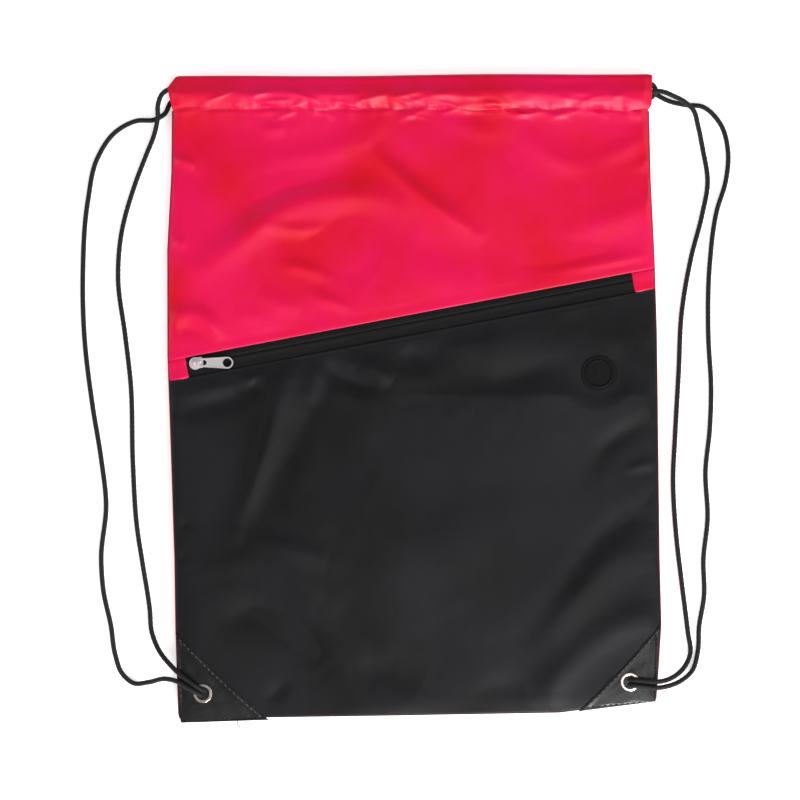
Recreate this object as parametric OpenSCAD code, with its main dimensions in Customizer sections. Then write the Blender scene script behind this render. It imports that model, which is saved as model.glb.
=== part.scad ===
// Drawstring backpack, empty and lying on its back on a floor: front face up, mouth towards +Y.
// The origin is on the floor under the middle of the bag. All sizes are in millimetres.

/* [Cloth] */
// Thickness of one layer of body cloth
cloth = 0.6; // [0.5:0.05:0.65]
// Thickness of the coated corner patches
patch_t = 0.8; // [0.6:0.1:0.9]
// Height of the back panel's edge above the floor
back_rim_z = 10.2; // [10:0.1:10.4]
// Width of the turned-in seam allowance
seam_w = 8; // [6:1:10]

/* [Hem tunnels] */
// Height of each tunnel from its stitch line to the top edge
tunnel_w = 25.5; // [24:0.5:28]
// Outside thickness of a tunnel with two cords in it
tunnel_t = 5.4; // [5.2:0.1:5.6]
// Level of the underside of the front tunnel
tunnel_front_z = 11.2; // [11:0.1:12]

/* [Zip] */
// Slope of the zip across the front
zip_angle = 10.8; // [8:0.2:12]
// Where the zip's centre line crosses the middle of the bag
zip_y = 54.2; // [48:0.2:60]
// Width of one zip tape
tape_w = 14; // [12:0.5:15]
// Distance between neighbouring elements of one coil
coil_pitch = 1.27; // [1.2:0.01:1.4]
// Thickness of the coil
coil_t = 1.7; // [1.4:0.1:1.8]
// Width of the slider's round head
slider_w = 8.8; // [8.4:0.1:9.4]
// Length of the pull tab from its pivot to the centre of its hole
pull_len = 20.3; // [16:0.1:26]
// Radius of the hole in the pull tab
pull_hole_r = 3.15; // [2:0.05:3.2]
// Length of the straight part of the pull tab's eye
eye_len = 3.9; // [3.8:0.1:4.4]

/* [Earphone port] */
// Outside radius of the rubber port
port_r = 12.8; // [11:0.1:14]
// Length of each arm of its cross slit, end to end
port_slit = 12; // [8:0.5:14]

/* [Corners and cords] */
// Radius of the eyelets' bore
eyelet_r = 4.55; // [4.5:0.05:4.6]
// Outside radius of the eyelets
eyelet_outer_r = 6.6; // [6.2:0.1:7]
// Diameter of the drawcord
cord_d = 3.6; // [3.2:0.1:3.6]

/* [Hidden] */

RED = [0.90, 0.10, 0.26];
BLACK = [0.17, 0.17, 0.18];
PVC = [0.12, 0.11, 0.11];
STEEL = [0.86, 0.84, 0.85];

thin = 0.01;
// Levels where the layers lie on each other, from the floor up
lining_z = back_rim_z + cloth;
tape_z = lining_z + cloth;
front_z = tape_z + cloth;
top_z = front_z + cloth;
lining_floor_z = 8;
lining_rim_w = 6.5;

// Finished outline of the bag below the tunnels, anticlockwise from the bottom left corner
left_corner = [-164, -229];
right_corner = [170, -214];
patch_left = [left_corner, [-104, -227.4], [-168, -166]];
patch_right = [right_corner, [174, -160], [117, -220.4]];
side_top_y = 204;
bag_top_y = 229;
right_side = [[174, -160], [172, 0], [169.2, 100], [166, side_top_y]];
left_side = [[-170, side_top_y], [-174, 100], [-171, -43], [-168, -166]];
bottom_edge = [[-104, -227.4], [104, -222], [117, -220.4]];
outline = concat([left_corner], bottom_edge, [right_corner], right_side, left_side);
cut_outline = concat(bottom_edge, right_side, left_side);
// The part of the back that rests on the floor
rest_outline = [[-56, -204], [64, -202], [150, -112], [148, 0], [145, side_top_y],
    [-148, side_top_y], [-150, 100], [-148, -122]];

red_edge = 5.3;
pocket_edge = -8.7;
tunnel_end_left = -166;
tunnel_end_right = 165;

eyelet_left_at = [-149, -208.3];
eyelet_right_at = [152.4, -200.2];
hole_r = eyelet_r + 0.6;
eyelet_wall = 0.45;
eyelet_flange_t = 0.9;
knot_h = 8.4;
port_at = [130.6, 17.4];
port_neck_r = 8.8;
slit_w = 0.7;

// Along the zip: ends of the window between the end tabs, and the slider's place when closed
window_left_x = -160;
window_right_x = 153.5;
slider_u = -157.2;
slider_tail = 5.6;
parting_w = 3.6;
bridge_w = 1.8;
eye_w = 3.6;
pivot_u = 2.4;
pivot_z = 14.0;
slider_low_z = 8.95;
slider_top_z = 12.8;

// Routes of the cords: from the knot through the eyelet, up the side, through the back tunnel,
// round the far end, back through the front tunnel, and down the side to the same knot.
cord_left_route = [[-149.2, -210.4, 8.8], [-149.9, -209.9, 12.2], [-151.6, -208.6, 15.4], [-155.2, -206.3, 17.3],
    [-160.5, -203.2, 17.2], [-166, -200, 16],
    [-176, -198, 12], [-188, -201, 6], [-199, -202, 2.6], [-207, -195.5, 1.8], [-212, -182, 1.8],
    [-215, -162, 1.8], [-220.5, -136, 1.8], [-222, -114, 1.8], [-218.5, -75, 1.8],
    [-222, -43, 1.8], [-228, -6, 1.8], [-234, 45, 1.8], [-235, 90, 1.8], [-231.5, 140, 1.8],
    [-224.5, 171, 1.8], [-212, 189, 1.8], [-197, 197, 1.8], [-184, 198, 1.8], [-177, 202, 1.9],
    [-172, 210.5, 2.6], [-162, 212, 2.7], [-40, 212, 2.7], [152, 212, 2.7], [163, 212, 2.7],
    [168.6, 213.6, 4.4], [170.9, 217.5, 8.3], [168.6, 221.4, 12.2], [163, 223, 13.9],
    [152, 223, 13.9], [0, 223, 13.9], [-152, 223, 13.9], [-164, 221.5, 13.9], [-172, 218.8, 13.5],
    [-178, 215, 12], [-181, 208, 9.8], [-181.5, 199, 6.8], [-184, 188, 3.6], [-190, 173, 1.9],
    [-198, 152, 1.8], [-208, 115, 1.8], [-210, 85, 1.8], [-205, 45, 1.8], [-201, 10, 1.8],
    [-199.5, -45, 1.8], [-196.5, -92, 1.8], [-192.5, -118, 1.8], [-187.5, -150, 1.8],
    [-186, -166, 2.4], [-181, -178, 5.5], [-173, -187.5, 11], [-165, -194.5, 15.6],
    [-158, -199.6, 17.1], [-152.3, -203.6, 17.3], [-149.4, -205.6, 15.4], [-147.7, -206.6, 12.2],
    [-147.2, -206.9, 8.8]];
cord_right_route = [[151.2, -202, 8.8], [151.7, -202.05, 12.2], [153.4, -202.1, 15.4], [157, -202.4, 17.3],
    [162, -203, 17.2], [168, -204, 16],
    [178, -203.5, 12], [189, -200, 6.5], [197.5, -193, 3], [201.5, -180, 1.8], [202.5, -162, 1.8],
    [206, -140, 1.8], [205.5, -115, 1.8], [208.5, -85, 1.8], [207, -52, 1.8], [210, -22, 1.8],
    [211, 5, 1.8], [209, 45, 1.8], [210, 95, 1.8], [215, 133, 1.8], [221.5, 155, 1.8],
    [223, 175, 1.8], [218, 194, 1.8], [205, 207, 1.8], [192, 208.5, 1.8], [180, 211.5, 2.1],
    [172, 215.5, 2.6], [162, 220, 2.7], [150, 221, 2.7], [0, 221, 2.7], [-150, 222, 2.7],
    [-164, 222, 2.7], [-169.1, 220.7, 4.3], [-171.2, 217.5, 8.3], [-169.1, 214.3, 12.3],
    [-164, 213, 13.9], [-150, 213, 13.9], [0, 213.5, 13.9], [152, 214, 13.9], [164, 215.8, 13.9],
    [174, 216.8, 13.2], [184, 213.5, 11], [192, 209.5, 8.4], [198, 204, 6.6], [201.5, 193, 4.4],
    [205, 177, 2.2], [208.5, 154, 1.8], [204.5, 130, 1.8], [197, 101, 1.8], [190, 60, 1.8],
    [188, 20, 1.8], [185.5, -25, 1.8], [184, -58, 1.8], [186, -95, 1.8], [190, -130, 1.8],
    [194.5, -166, 1.8], [196, -181, 3.2], [190, -192, 7.2], [180, -198.3, 12], [169, -199.8, 16],
    [162.5, -199.1, 17.2], [157.2, -198.6, 17.3], [153.6, -198.4, 15.4], [151.9, -198.35, 12.2],
    [151.4, -198.3, 8.8]];

// Distance d from the zip's centre line, measured square to it, as a y on the line at x
function zip_line(x, d) = zip_y + x * tan(zip_angle) + d / cos(zip_angle);
function along_zip(x) = x / cos(zip_angle);
// Bag outlines moved in by d at the sides and the bottom
function inset(points, d) =
    [for (p = points) [p[0] - sign(p[0]) * d, p[1] < -100 ? p[1] + d : p[1]]];
// A corner patch's outline moved in by d at the seams, with its long edge kept clear of the body
function trimmed(points, d) = [for (p = points)
    let (s = sign(p[0]),
         at_side = abs(p[1] - points[0][1]) > 20,
         at_bottom = abs(p[0] - points[0][0]) > 20)
    p + [at_bottom ? s * 1.5 : -s * d, at_side ? -1.5 : d]];
function raised(points, d) = [for (p = points) [p[0], p[1] > 0 ? p[1] + d : p[1]]];

// Smooth curve through a route, with `steps` points for each stretch
function tangent(p, i) =
    let (last = len(p) - 1,
         a = p[max(i - 1, 0)],
         b = p[i],
         c = p[min(i + 1, last)],
         da = max(norm(b - a), thin),
         dc = max(norm(c - b), thin))
    i == 0 ? (c - b) / dc
    : i == last ? (b - a) / da
    : ((b - a) / da * dc + (c - b) / dc * da) / (da + dc);
function on_curve(p, i, t) =
    let (d = norm(p[i + 1] - p[i]))
    (2 * t * t * t - 3 * t * t + 1) * p[i] + (t * t * t - 2 * t * t + t) * d * tangent(p, i)
    + (3 * t * t - 2 * t * t * t) * p[i + 1] + (t * t * t - t * t) * d * tangent(p, i + 1);
function smooth(p, steps) = concat(
    [for (i = [0 : len(p) - 2]) for (k = [0 : steps - 1]) on_curve(p, i, k / steps)],
    [p[len(p) - 1]]);
function unit(v) = v / norm(v);

// Round tube along a list of points
module tube(points, r, sides) {
    last = len(points) - 1;
    rings = [for (i = [0 : last])
        let (t = unit(points[min(i + 1, last)] - points[max(i - 1, 0)]),
             side = unit(cross(t, [0, 0, 1])),
             up = cross(side, t))
        for (k = [0 : sides - 1])
            points[i] + r * (cos(360 * k / sides) * side + sin(360 * k / sides) * up)];
    walls = [for (i = [0 : last - 1]) for (k = [0 : sides - 1])
        let (a = i * sides + k, b = i * sides + (k + 1) % sides)
        [a, a + sides, b + sides, b]];
    ends = [[for (k = [0 : sides - 1]) k], [for (k = [sides - 1 : -1 : 0]) last * sides + k]];
    polyhedron(rings, concat(walls, ends));
}

module plate(points, z, t) {
    translate([0, 0, z]) linear_extrude(t) polygon(points);
}

// Shallow tray of cloth: a flat floor, sloping sides and a flat rim that is sewn into the seam
module tray(rim, rest, z_rest, z_rim, rim_w) {
    difference() {
        hull() {
            plate(rest, z_rest, thin);
            plate(rim, z_rim, cloth);
        }
        hull() {
            plate(raised(rest, 5), z_rest + cloth, thin);
            plate(raised(inset(rim, rim_w), 5), z_rim + cloth, 4);
        }
    }
}

module eyelet_holes() {
    for (p = [eyelet_left_at, eyelet_right_at])
        translate([p[0], p[1], 0]) cylinder(h = 20, r = hole_r, $fn = 48);
}

// Flattened tube of hem cloth that the cords run through
module hem_tunnel(z) {
    r = tunnel_t / 2;
    y0 = bag_top_y - tunnel_w;
    translate([tunnel_end_left, 0, z + r]) rotate([90, 0, 90])
        linear_extrude(tunnel_end_right - tunnel_end_left) difference() {
            flat_round(y0 + r, bag_top_y - r, r);
            flat_round(y0 + r, bag_top_y - r, r - cloth);
        }
}

module flat_round(a, b, r) {
    translate([a, -r]) square([b - a, 2 * r]);
    for (x = [a, b]) translate([x, 0]) circle(r = r, $fn = 32);
}

module zip_frame() {
    translate([0, zip_y, 0]) rotate(zip_angle) children();
}

module back_panel() {
    rest = [for (p = rest_outline) [p[0], p[1] > 200 ? p[1] + 1.5 : p[1]]];
    color(RED) {
        difference() {
            union() {
                tray(cut_outline, rest, 0, back_rim_z, 5);
                plate(patch_left, back_rim_z, cloth);
                plate(patch_right, back_rim_z, cloth);
            }
            eyelet_holes();
        }
        hem_tunnel(0);
    }
}

// Upper front, from the folded edge along the zip to the hem tunnel
module front_panel() {
    side_l = [[-172.9, zip_line(-172.9, red_edge)], [-173, 100], [-169, side_top_y]];
    side_r = [[169.9, zip_line(169.9, red_edge)], [168.4, 100], [165, side_top_y]];
    color(RED) {
        plate([side_l[0], side_r[0], side_r[1], [165, side_top_y + 0.6],
            [-169, side_top_y + 0.6], side_l[1]], front_z, cloth);
        for (side = [side_l, side_r]) {
            low_y = zip_line(side[0][0], tape_w + 0.4);
            low = side[0] + (side[1] - side[0]) * (low_y - side[0][1]) / (side[1][1] - side[0][1]);
            outer = [low, side[1], side[2]];
            in = sign(low[0]) * seam_w;
            inner = [side[2] - [in, 0], side[1] - [in, 0], low - [in, in * tan(zip_angle)]];
            plate(concat(outer, inner), lining_z, front_z - lining_z);
        }
        hem_tunnel(tunnel_front_z);
    }
}

// Outline of the pocket below a line at distance d from the zip's centre line
function pocket_outline(d) = concat(inset([left_corner], 1), inset(bottom_edge, 1),
    inset([right_corner], 1), pocket_sides(d));
function pocket_cut_outline(d) = concat(inset(bottom_edge, 1), pocket_sides(d));
function pocket_sides(d) = concat(inset([[174, -160], [172, 0]], 1),
    [[170.4, zip_line(170.4, d)], [-172.3, zip_line(-172.3, d)]],
    inset([[-171, -43], [-168, -166]], 1));

// Back wall of the pocket: a shallow tray that hangs from a flat rim sewn into the seams
module pocket_lining() {
    rim = pocket_cut_outline(tape_w - 0.9);
    rest = [[-70, -210], [72, -205], [153, -123], [156, 0], [154, zip_line(154, 7)],
        [-160, zip_line(-160, 7)], [-159, -43], [-152, -130]];
    color(RED) difference() {
        union() {
            hull() {
                plate(rest, lining_floor_z, thin);
                plate(inset(rim, lining_rim_w), lining_z, cloth);
            }
            plate(rim, lining_z, cloth);
            plate(inset(patch_left, 1), lining_z, cloth);
            plate(inset(patch_right, 1), lining_z, cloth);
        }
        hull() {
            plate(inset(rest, 0.5), lining_floor_z + cloth, thin);
            plate(lining_mouth(rim), lining_z + cloth, 4);
        }
        eyelet_holes();
    }
}
function lining_mouth(rim) = [for (p = inset(rim, lining_rim_w + 1)) p[1] > 0 ? p - [0, 3] : p];

module pocket_panel() {
    face = pocket_outline(pocket_edge);
    seam = pocket_outline(-tape_w - 0.4);
    color(BLACK) difference() {
        union() {
            plate(face, front_z, cloth);
            difference() {
                plate(seam, tape_z, cloth);
                plate(raised(inset(seam, seam_w), 5), tape_z - 1, cloth + 2);
            }
            plate(inset(patch_left, 1), tape_z, cloth);
            plate(inset(patch_right, 1), tape_z, cloth);
        }
        eyelet_holes();
        translate([port_at[0], port_at[1], 0]) cylinder(h = 20, r = port_neck_r + 0.2, $fn = 64);
    }
}

// One tape, on the side of the centre line given by +1 or -1
module zip_tape(side) {
    a = along_zip(-172);
    b = along_zip(169);
    color(BLACK) zip_frame() difference() {
        translate([a, side > 0 ? 0.1 : -tape_w, tape_z]) cube([b - a, tape_w - 0.1, cloth]);
        // The tapes part ahead of the closed slider, round its divider
        translate([a - 1, -parting_w / 2, tape_z - 1]) cube([slider_u + 0.2 - a + 1, parting_w, 3]);
    }
}

// One coil: the row of elements on one side, joined along its back where it is sewn down
module zip_coil(side) {
    back = 2.2;
    back_w = 0.8;
    reach = 0.75;
    neck = 0.25;
    head = 0.29;
    head_len = 0.7;
    start = slider_u + 0.3;
    count = floor((along_zip(window_right_x) - start) / coil_pitch);
    shift = side > 0 ? 0 : coil_pitch / 2;
    tooth = [[-neck, back], [-neck, -reach + head_len], [-head, -reach],
        [head, -reach], [neck, -reach + head_len], [neck, back]];
    comb = concat([[start, back + back_w], [start, back]],
        [for (i = [0 : count - 1]) for (p = tooth)
            [start + 1 + i * coil_pitch + shift + p[0], p[1]]],
        [[start + 2 + count * coil_pitch, back], [start + 2 + count * coil_pitch, back + back_w]]);
    color(PVC) zip_frame() translate([0, 0, tape_z - coil_t]) linear_extrude(coil_t)
        polygon([for (p = comb) [p[0], side * p[1]]]);
}

module zip_end_tab(x0, x1) {
    color(RED) plate([[x0, zip_line(x0, red_edge)], [x0, zip_line(x0, pocket_edge)],
        [x1, zip_line(x1, pocket_edge)], [x1, zip_line(x1, red_edge)]], front_z, cloth);
}

// Plan of the slider's two plates: a round head and a narrower tail
module slider_plan(grow) {
    circle(r = slider_w / 2 + grow, $fn = 64);
    translate([0, -3.9 - grow]) square([slider_tail - 1.5, 7.8 + 2 * grow]);
    for (s = [-1, 1]) translate([slider_tail - 1.5, s * 2.4]) circle(r = 1.5 + grow, $fn = 32);
    translate([0, -2.4]) square([slider_tail + grow, 4.8]);
}

// Slider with its two plates, the divider between them, side flanges and the bridge
module zip_slider() {
    plate_t = 0.7;
    flange_w = 0.8;
    color(STEEL) zip_frame() translate([slider_u, 0, 0]) {
        translate([0, 0, slider_low_z]) linear_extrude(plate_t) slider_plan(0);
        translate([0, 0, slider_low_z]) linear_extrude(tape_z - 0.15 - slider_low_z) difference() {
            slider_plan(0);
            translate([-6, -slider_w / 2 + flange_w]) square([14, slider_w - 2 * flange_w]);
        }
        translate([0, 0, slider_top_z - plate_t]) linear_extrude(plate_t) slider_plan(0);
        // The divider, which parts the two coils at the head
        translate([-slider_w / 2 + 0.8, 0, slider_low_z]) linear_extrude(slider_top_z - slider_low_z)
            polygon([[0, -1.1], [0.9, -1.5], [3.4, 0], [0.9, 1.5], [0, 1.1]]);
        translate([0, bridge_w / 2, slider_top_z]) rotate([90, 0, 0]) linear_extrude(bridge_w) bridge_side();
    }
}

// Side view of the bridge: an arch whose slot holds the pull tab's cross bar
module bridge_side() {
    left = pivot_u - 3.6;
    right = pivot_u + 2.1;
    difference() {
        union() {
            translate([left, 0]) square([right - left, 1.8]);
            for (x = [left + 1.3, right - 1.3]) translate([x, 1.8]) circle(r = 1.3, $fn = 32);
            translate([left + 1.3, 1.8]) square([right - left - 2.6, 1.3]);
        }
        translate([left + 1.2, 0.2]) square([right - left - 2.4, 1.9]);
    }
}

module pull_plan(edge) {
    difference() {
        union() {
            polygon([[0, -2.9 + edge], [pull_len, -4.15 + edge], [pull_len, 4.15 - edge],
                [0, 2.9 - edge]]);
            translate([pull_len, 0]) circle(r = 4.15 - edge, $fn = 64);
        }
        if (edge > 0) translate([-1, -5]) square([1 + 6.3, 10]);
    }
}

// Pull tab: a cross bar, two arms round the bridge, a dished blade and a hole at the free end
module pull_tab() {
    half = 0.5;
    rim = 0.2;
    color(STEEL) zip_frame() translate([slider_u + pivot_u, 0, pivot_z]) rotate(-zip_angle) {
        difference() {
            translate([0, 0, -half - rim]) linear_extrude(2 * (half + rim)) pull_plan(0);
            for (s = [-1, 1]) translate([0, 0, s * (half + 1) - 1]) linear_extrude(2) difference() {
                pull_plan(0.9);
                translate([pull_len, 0]) circle(r = pull_hole_r + 0.01 + 0.5, $fn = 64);
            }
            translate([pull_len, 0, -2]) cylinder(h = 4, r = pull_hole_r, $fn = 64);
            translate([-1, -eye_w / 2, -2]) cube([1 + eye_len, eye_w, 4]);
            translate([eye_len, 0, -2]) cylinder(h = 4, r = eye_w / 2, $fn = 32);
        }
        translate([0, 2.9, 0]) rotate([90, 0, 0]) cylinder(h = 5.8, r = 0.6, $fn = 32);
    }
}

// Rubber port: a flat flange, a raised ring, and a thin web cut by a cross slit
module earphone_port() {
    color(PVC) translate([port_at[0], port_at[1], top_z]) rotate(zip_angle) difference() {
        rotate_extrude($fn = 96) {
            translate([8.2, 0]) square([port_r - 8.2 - 0.4, 0.8]);
            translate([port_r - 0.4, 0.4]) circle(r = 0.4, $fn = 24);
            translate([9.4, 0.8]) circle(r = 0.75, $fn = 32);
            translate([0, -0.4]) square([8.6, 1.0]);
            translate([8, -1]) square([port_neck_r - 8, 1.2]);
        }
        for (a = [0, 90]) rotate(a) translate([-port_slit / 2, -slit_w / 2, -1]) cube([port_slit, slit_w, 3]);
    }
}

module corner_patch(points, at, z) {
    color(PVC) difference() {
        plate(points, z, patch_t);
        translate([at[0], at[1], 0]) cylinder(h = 20, r = hole_r, $fn = 48);
    }
}

// Eyelet: a domed flange on the front with a barrel through every layer
module eyelet(at) {
    top = top_z + patch_t;
    low = back_rim_z - patch_t - 0.7;
    color(STEEL) translate([at[0], at[1], 0]) rotate_extrude($fn = 96) {
        translate([eyelet_r, low]) square([eyelet_wall, top + 0.45 - low]);
        translate([eyelet_r + 0.45, top]) square([eyelet_outer_r - eyelet_r - 0.9, eyelet_flange_t]);
        for (r = [eyelet_r + 0.45, eyelet_outer_r - 0.45])
            translate([r, top + 0.45]) circle(r = 0.45, $fn = 32);
    }
}

module eyelet_washer(at) {
    inner = eyelet_r + eyelet_wall + 0.05;
    low = back_rim_z - patch_t - 0.7;
    color(STEEL) translate([at[0], at[1], low]) rotate_extrude($fn = 96) {
        translate([inner, 0.1]) square([eyelet_outer_r - inner, 0.6]);
        translate([inner + 0.5, 0]) square([eyelet_outer_r - inner - 1, 0.2]);
    }
}

module cord(route) {
    color(BLACK) tube(smooth(route, 2), cord_d / 2, 8);
}

// Both ends of one cord tied together behind the corner
module cord_knot(at) {
    r = knot_h / 2;
    color(BLACK) translate([at[0], at[1], r]) rotate_extrude($fn = 48) {
        translate([0, -r]) square([3, 2 * r]);
        translate([3, 0]) intersection() {
            circle(r = r, $fn = 32);
            translate([0, -r]) square([r, 2 * r]);
        }
    }
}

back_panel();
front_panel();
pocket_lining();
pocket_panel();
zip_tape(1);  // zip_tape_upper
zip_tape(-1);  // zip_tape_lower
zip_coil(1);  // zip_coil_upper
zip_coil(-1);  // zip_coil_lower
zip_end_tab(-172.6, window_left_x);  // zip_end_tab_left
zip_end_tab(window_right_x, 169.9);  // zip_end_tab_right
zip_slider();
pull_tab();
earphone_port();
corner_patch(inset(patch_left, 1), eyelet_left_at, top_z);  // patch_front_left
corner_patch(inset(patch_right, 1), eyelet_right_at, top_z);  // patch_front_right
corner_patch(trimmed(patch_left, 0.5), eyelet_left_at, back_rim_z - patch_t);  // patch_back_left
corner_patch(trimmed(patch_right, 0.5), eyelet_right_at, back_rim_z - patch_t);  // patch_back_right
eyelet(eyelet_left_at);  // eyelet_left
eyelet(eyelet_right_at);  // eyelet_right
eyelet_washer(eyelet_left_at);  // eyelet_washer_left
eyelet_washer(eyelet_right_at);  // eyelet_washer_right
cord(cord_left_route);  // cord_left
cord(cord_right_route);  // cord_right
cord_knot(eyelet_left_at);  // cord_knot_left
cord_knot(eyelet_right_at);  // cord_knot_right
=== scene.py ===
# %% [markdown]
# # A drawstring backpack, laid flat on its back
# The bag is a red polyester sack with a black zip pocket across its lower front, a rubber port for an
# earphone lead, coated corner patches with eyelets, and two braided cords that are strap and drawstring
# at once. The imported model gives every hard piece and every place. This file adds the cloth, the cords,
# the thread and all the finishes around it.

# %% Load the frame
import math
import bpy
import numpy as np
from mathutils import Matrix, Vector


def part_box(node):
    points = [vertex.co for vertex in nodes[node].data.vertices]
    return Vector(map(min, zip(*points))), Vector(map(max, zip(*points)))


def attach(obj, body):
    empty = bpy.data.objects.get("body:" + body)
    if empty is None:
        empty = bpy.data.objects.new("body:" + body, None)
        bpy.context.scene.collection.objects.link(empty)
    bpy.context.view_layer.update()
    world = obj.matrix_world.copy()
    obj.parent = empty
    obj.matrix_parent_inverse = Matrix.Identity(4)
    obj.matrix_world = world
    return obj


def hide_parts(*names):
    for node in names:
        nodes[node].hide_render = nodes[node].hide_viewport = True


MM = 0.001
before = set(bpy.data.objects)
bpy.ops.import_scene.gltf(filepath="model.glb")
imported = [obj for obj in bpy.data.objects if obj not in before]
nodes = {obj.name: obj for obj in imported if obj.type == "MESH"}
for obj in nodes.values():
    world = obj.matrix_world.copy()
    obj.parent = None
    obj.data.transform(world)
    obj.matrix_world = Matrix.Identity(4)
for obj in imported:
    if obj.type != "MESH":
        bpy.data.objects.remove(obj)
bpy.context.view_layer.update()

# %% [markdown]
# ## Camera
# The bag is seen from straight above. A long lens high over the floor keeps the sides of the bag from
# showing, so its outline is true all round.

# %% Camera
CAMERA_HEIGHT = 2.0
VIEW_WIDTH = 0.5648
VIEW_CENTRE = (-0.0099, -0.0011)
BAG_TOP = 0.013
SENSOR = 36.0
camera_data = bpy.data.cameras.new("camera")
camera_data.sensor_width = SENSOR
camera_data.lens = SENSOR * CAMERA_HEIGHT / VIEW_WIDTH
camera = bpy.data.objects.new("camera", camera_data)
camera.location = (*VIEW_CENTRE, CAMERA_HEIGHT + BAG_TOP)
bpy.context.scene.collection.objects.link(camera)
bpy.context.scene.camera = camera
bpy.context.scene.view_settings.view_transform = "Standard"
print("lens", round(camera_data.lens, 1), "mm")

# %% [markdown]
# ## Helpers for meshes
# Nearly every soft piece here is a grid of points, so one helper turns rows of points into a mesh.
# A second one gives a thin sheet its thickness, always on the side away from its outer face.

# %% Mesh helpers
def new_object(name, points, faces, smooth=True):
    mesh = bpy.data.meshes.new(name)
    mesh.from_pydata([tuple(p) for p in points], [], faces)
    mesh.update()
    if smooth:
        mesh.shade_smooth()
    obj = bpy.data.objects.new(name, mesh)
    bpy.context.scene.collection.objects.link(obj)
    return obj


def grid_faces(rows, columns, wrap=False):
    """Quads of a grid whose points are stored row by row."""
    faces = []
    span = columns if wrap else columns - 1
    for r in range(rows - 1):
        for c in range(span):
            d = (c + 1) % columns
            faces.append((r * columns + c, r * columns + d, (r + 1) * columns + d, (r + 1) * columns + c))
    return faces


def sheet_object(name, grid, thickness):
    """Cloth of one thickness whose outer face is the grid of points, in metres."""
    rows, columns, _ = grid.shape
    obj = new_object(name, grid.reshape(-1, 3), grid_faces(rows, columns))
    solid = obj.modifiers.new("thickness", "SOLIDIFY")
    solid.thickness = thickness
    solid.offset = -1
    apply_modifiers(obj)
    obj.data.shade_smooth()
    return obj


def apply_modifiers(obj):
    """Turns what the modifiers make into the object's own mesh."""
    graph = bpy.context.evaluated_depsgraph_get()
    mesh = bpy.data.meshes.new_from_object(obj.evaluated_get(graph))
    obj.modifiers.clear()
    obj.data = mesh
    return obj


def area_of(obj):
    return sum(p.area for p in obj.data.polygons)


# %% [markdown]
# ## The drawcords
# Each cord is one length of 3.6 mm braid. Both of its ends are tied behind one bottom corner. From the
# knot it comes up through the eyelet, lies loosely beside the bag, runs through the back tunnel, turns
# round at the far end, comes back through the front tunnel and returns to the same eyelet. Its route is
# a list of points, and a smooth curve is drawn through them so that it bends as a limp cord does.

# %% Cord routes
LEFT_ROUTE = [(-149.2, -210.4, 8.8), (-149.9, -209.9, 12.2), (-151.6, -208.6, 15.4), (-155.2, -206.3, 17.3),
    (-160.5, -203.2, 17.2), (-166, -200, 16),
    (-176, -198, 12), (-188, -201, 6), (-199, -202, 2.6), (-207, -195.5, 1.8), (-212, -182, 1.8),
    (-215, -162, 1.8), (-220.5, -136, 1.8), (-222, -114, 1.8), (-218.5, -75, 1.8),
    (-222, -43, 1.8), (-228, -6, 1.8), (-234, 45, 1.8), (-235, 90, 1.8), (-231.5, 140, 1.8),
    (-224.5, 171, 1.8), (-212, 189, 1.8), (-197, 197, 1.8), (-184, 198, 1.8), (-177, 202, 1.9),
    (-172, 210.5, 2.6), (-162, 212, 2.7), (-40, 212, 2.7), (152, 212, 2.7), (163, 212, 2.7),
    (168.6, 213.6, 4.4), (170.9, 217.5, 8.3), (168.6, 221.4, 12.2), (163, 223, 13.9),
    (152, 223, 13.9), (0, 223, 13.9), (-152, 223, 13.9), (-164, 221.5, 13.9), (-172, 218.8, 13.5),
    (-178, 215, 12), (-181, 208, 9.8), (-181.5, 199, 6.8), (-184, 188, 3.6), (-190, 173, 1.9),
    (-198, 152, 1.8), (-208, 115, 1.8), (-210, 85, 1.8), (-205, 45, 1.8), (-201, 10, 1.8),
    (-199.5, -45, 1.8), (-196.5, -92, 1.8), (-192.5, -118, 1.8), (-187.5, -150, 1.8),
    (-186, -166, 2.4), (-181, -178, 5.5), (-173, -187.5, 11), (-165, -194.5, 15.6),
    (-158, -199.6, 17.1), (-152.3, -203.6, 17.3), (-149.4, -205.6, 15.4), (-147.7, -206.6, 12.2),
    (-147.2, -206.9, 8.8)]
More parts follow.
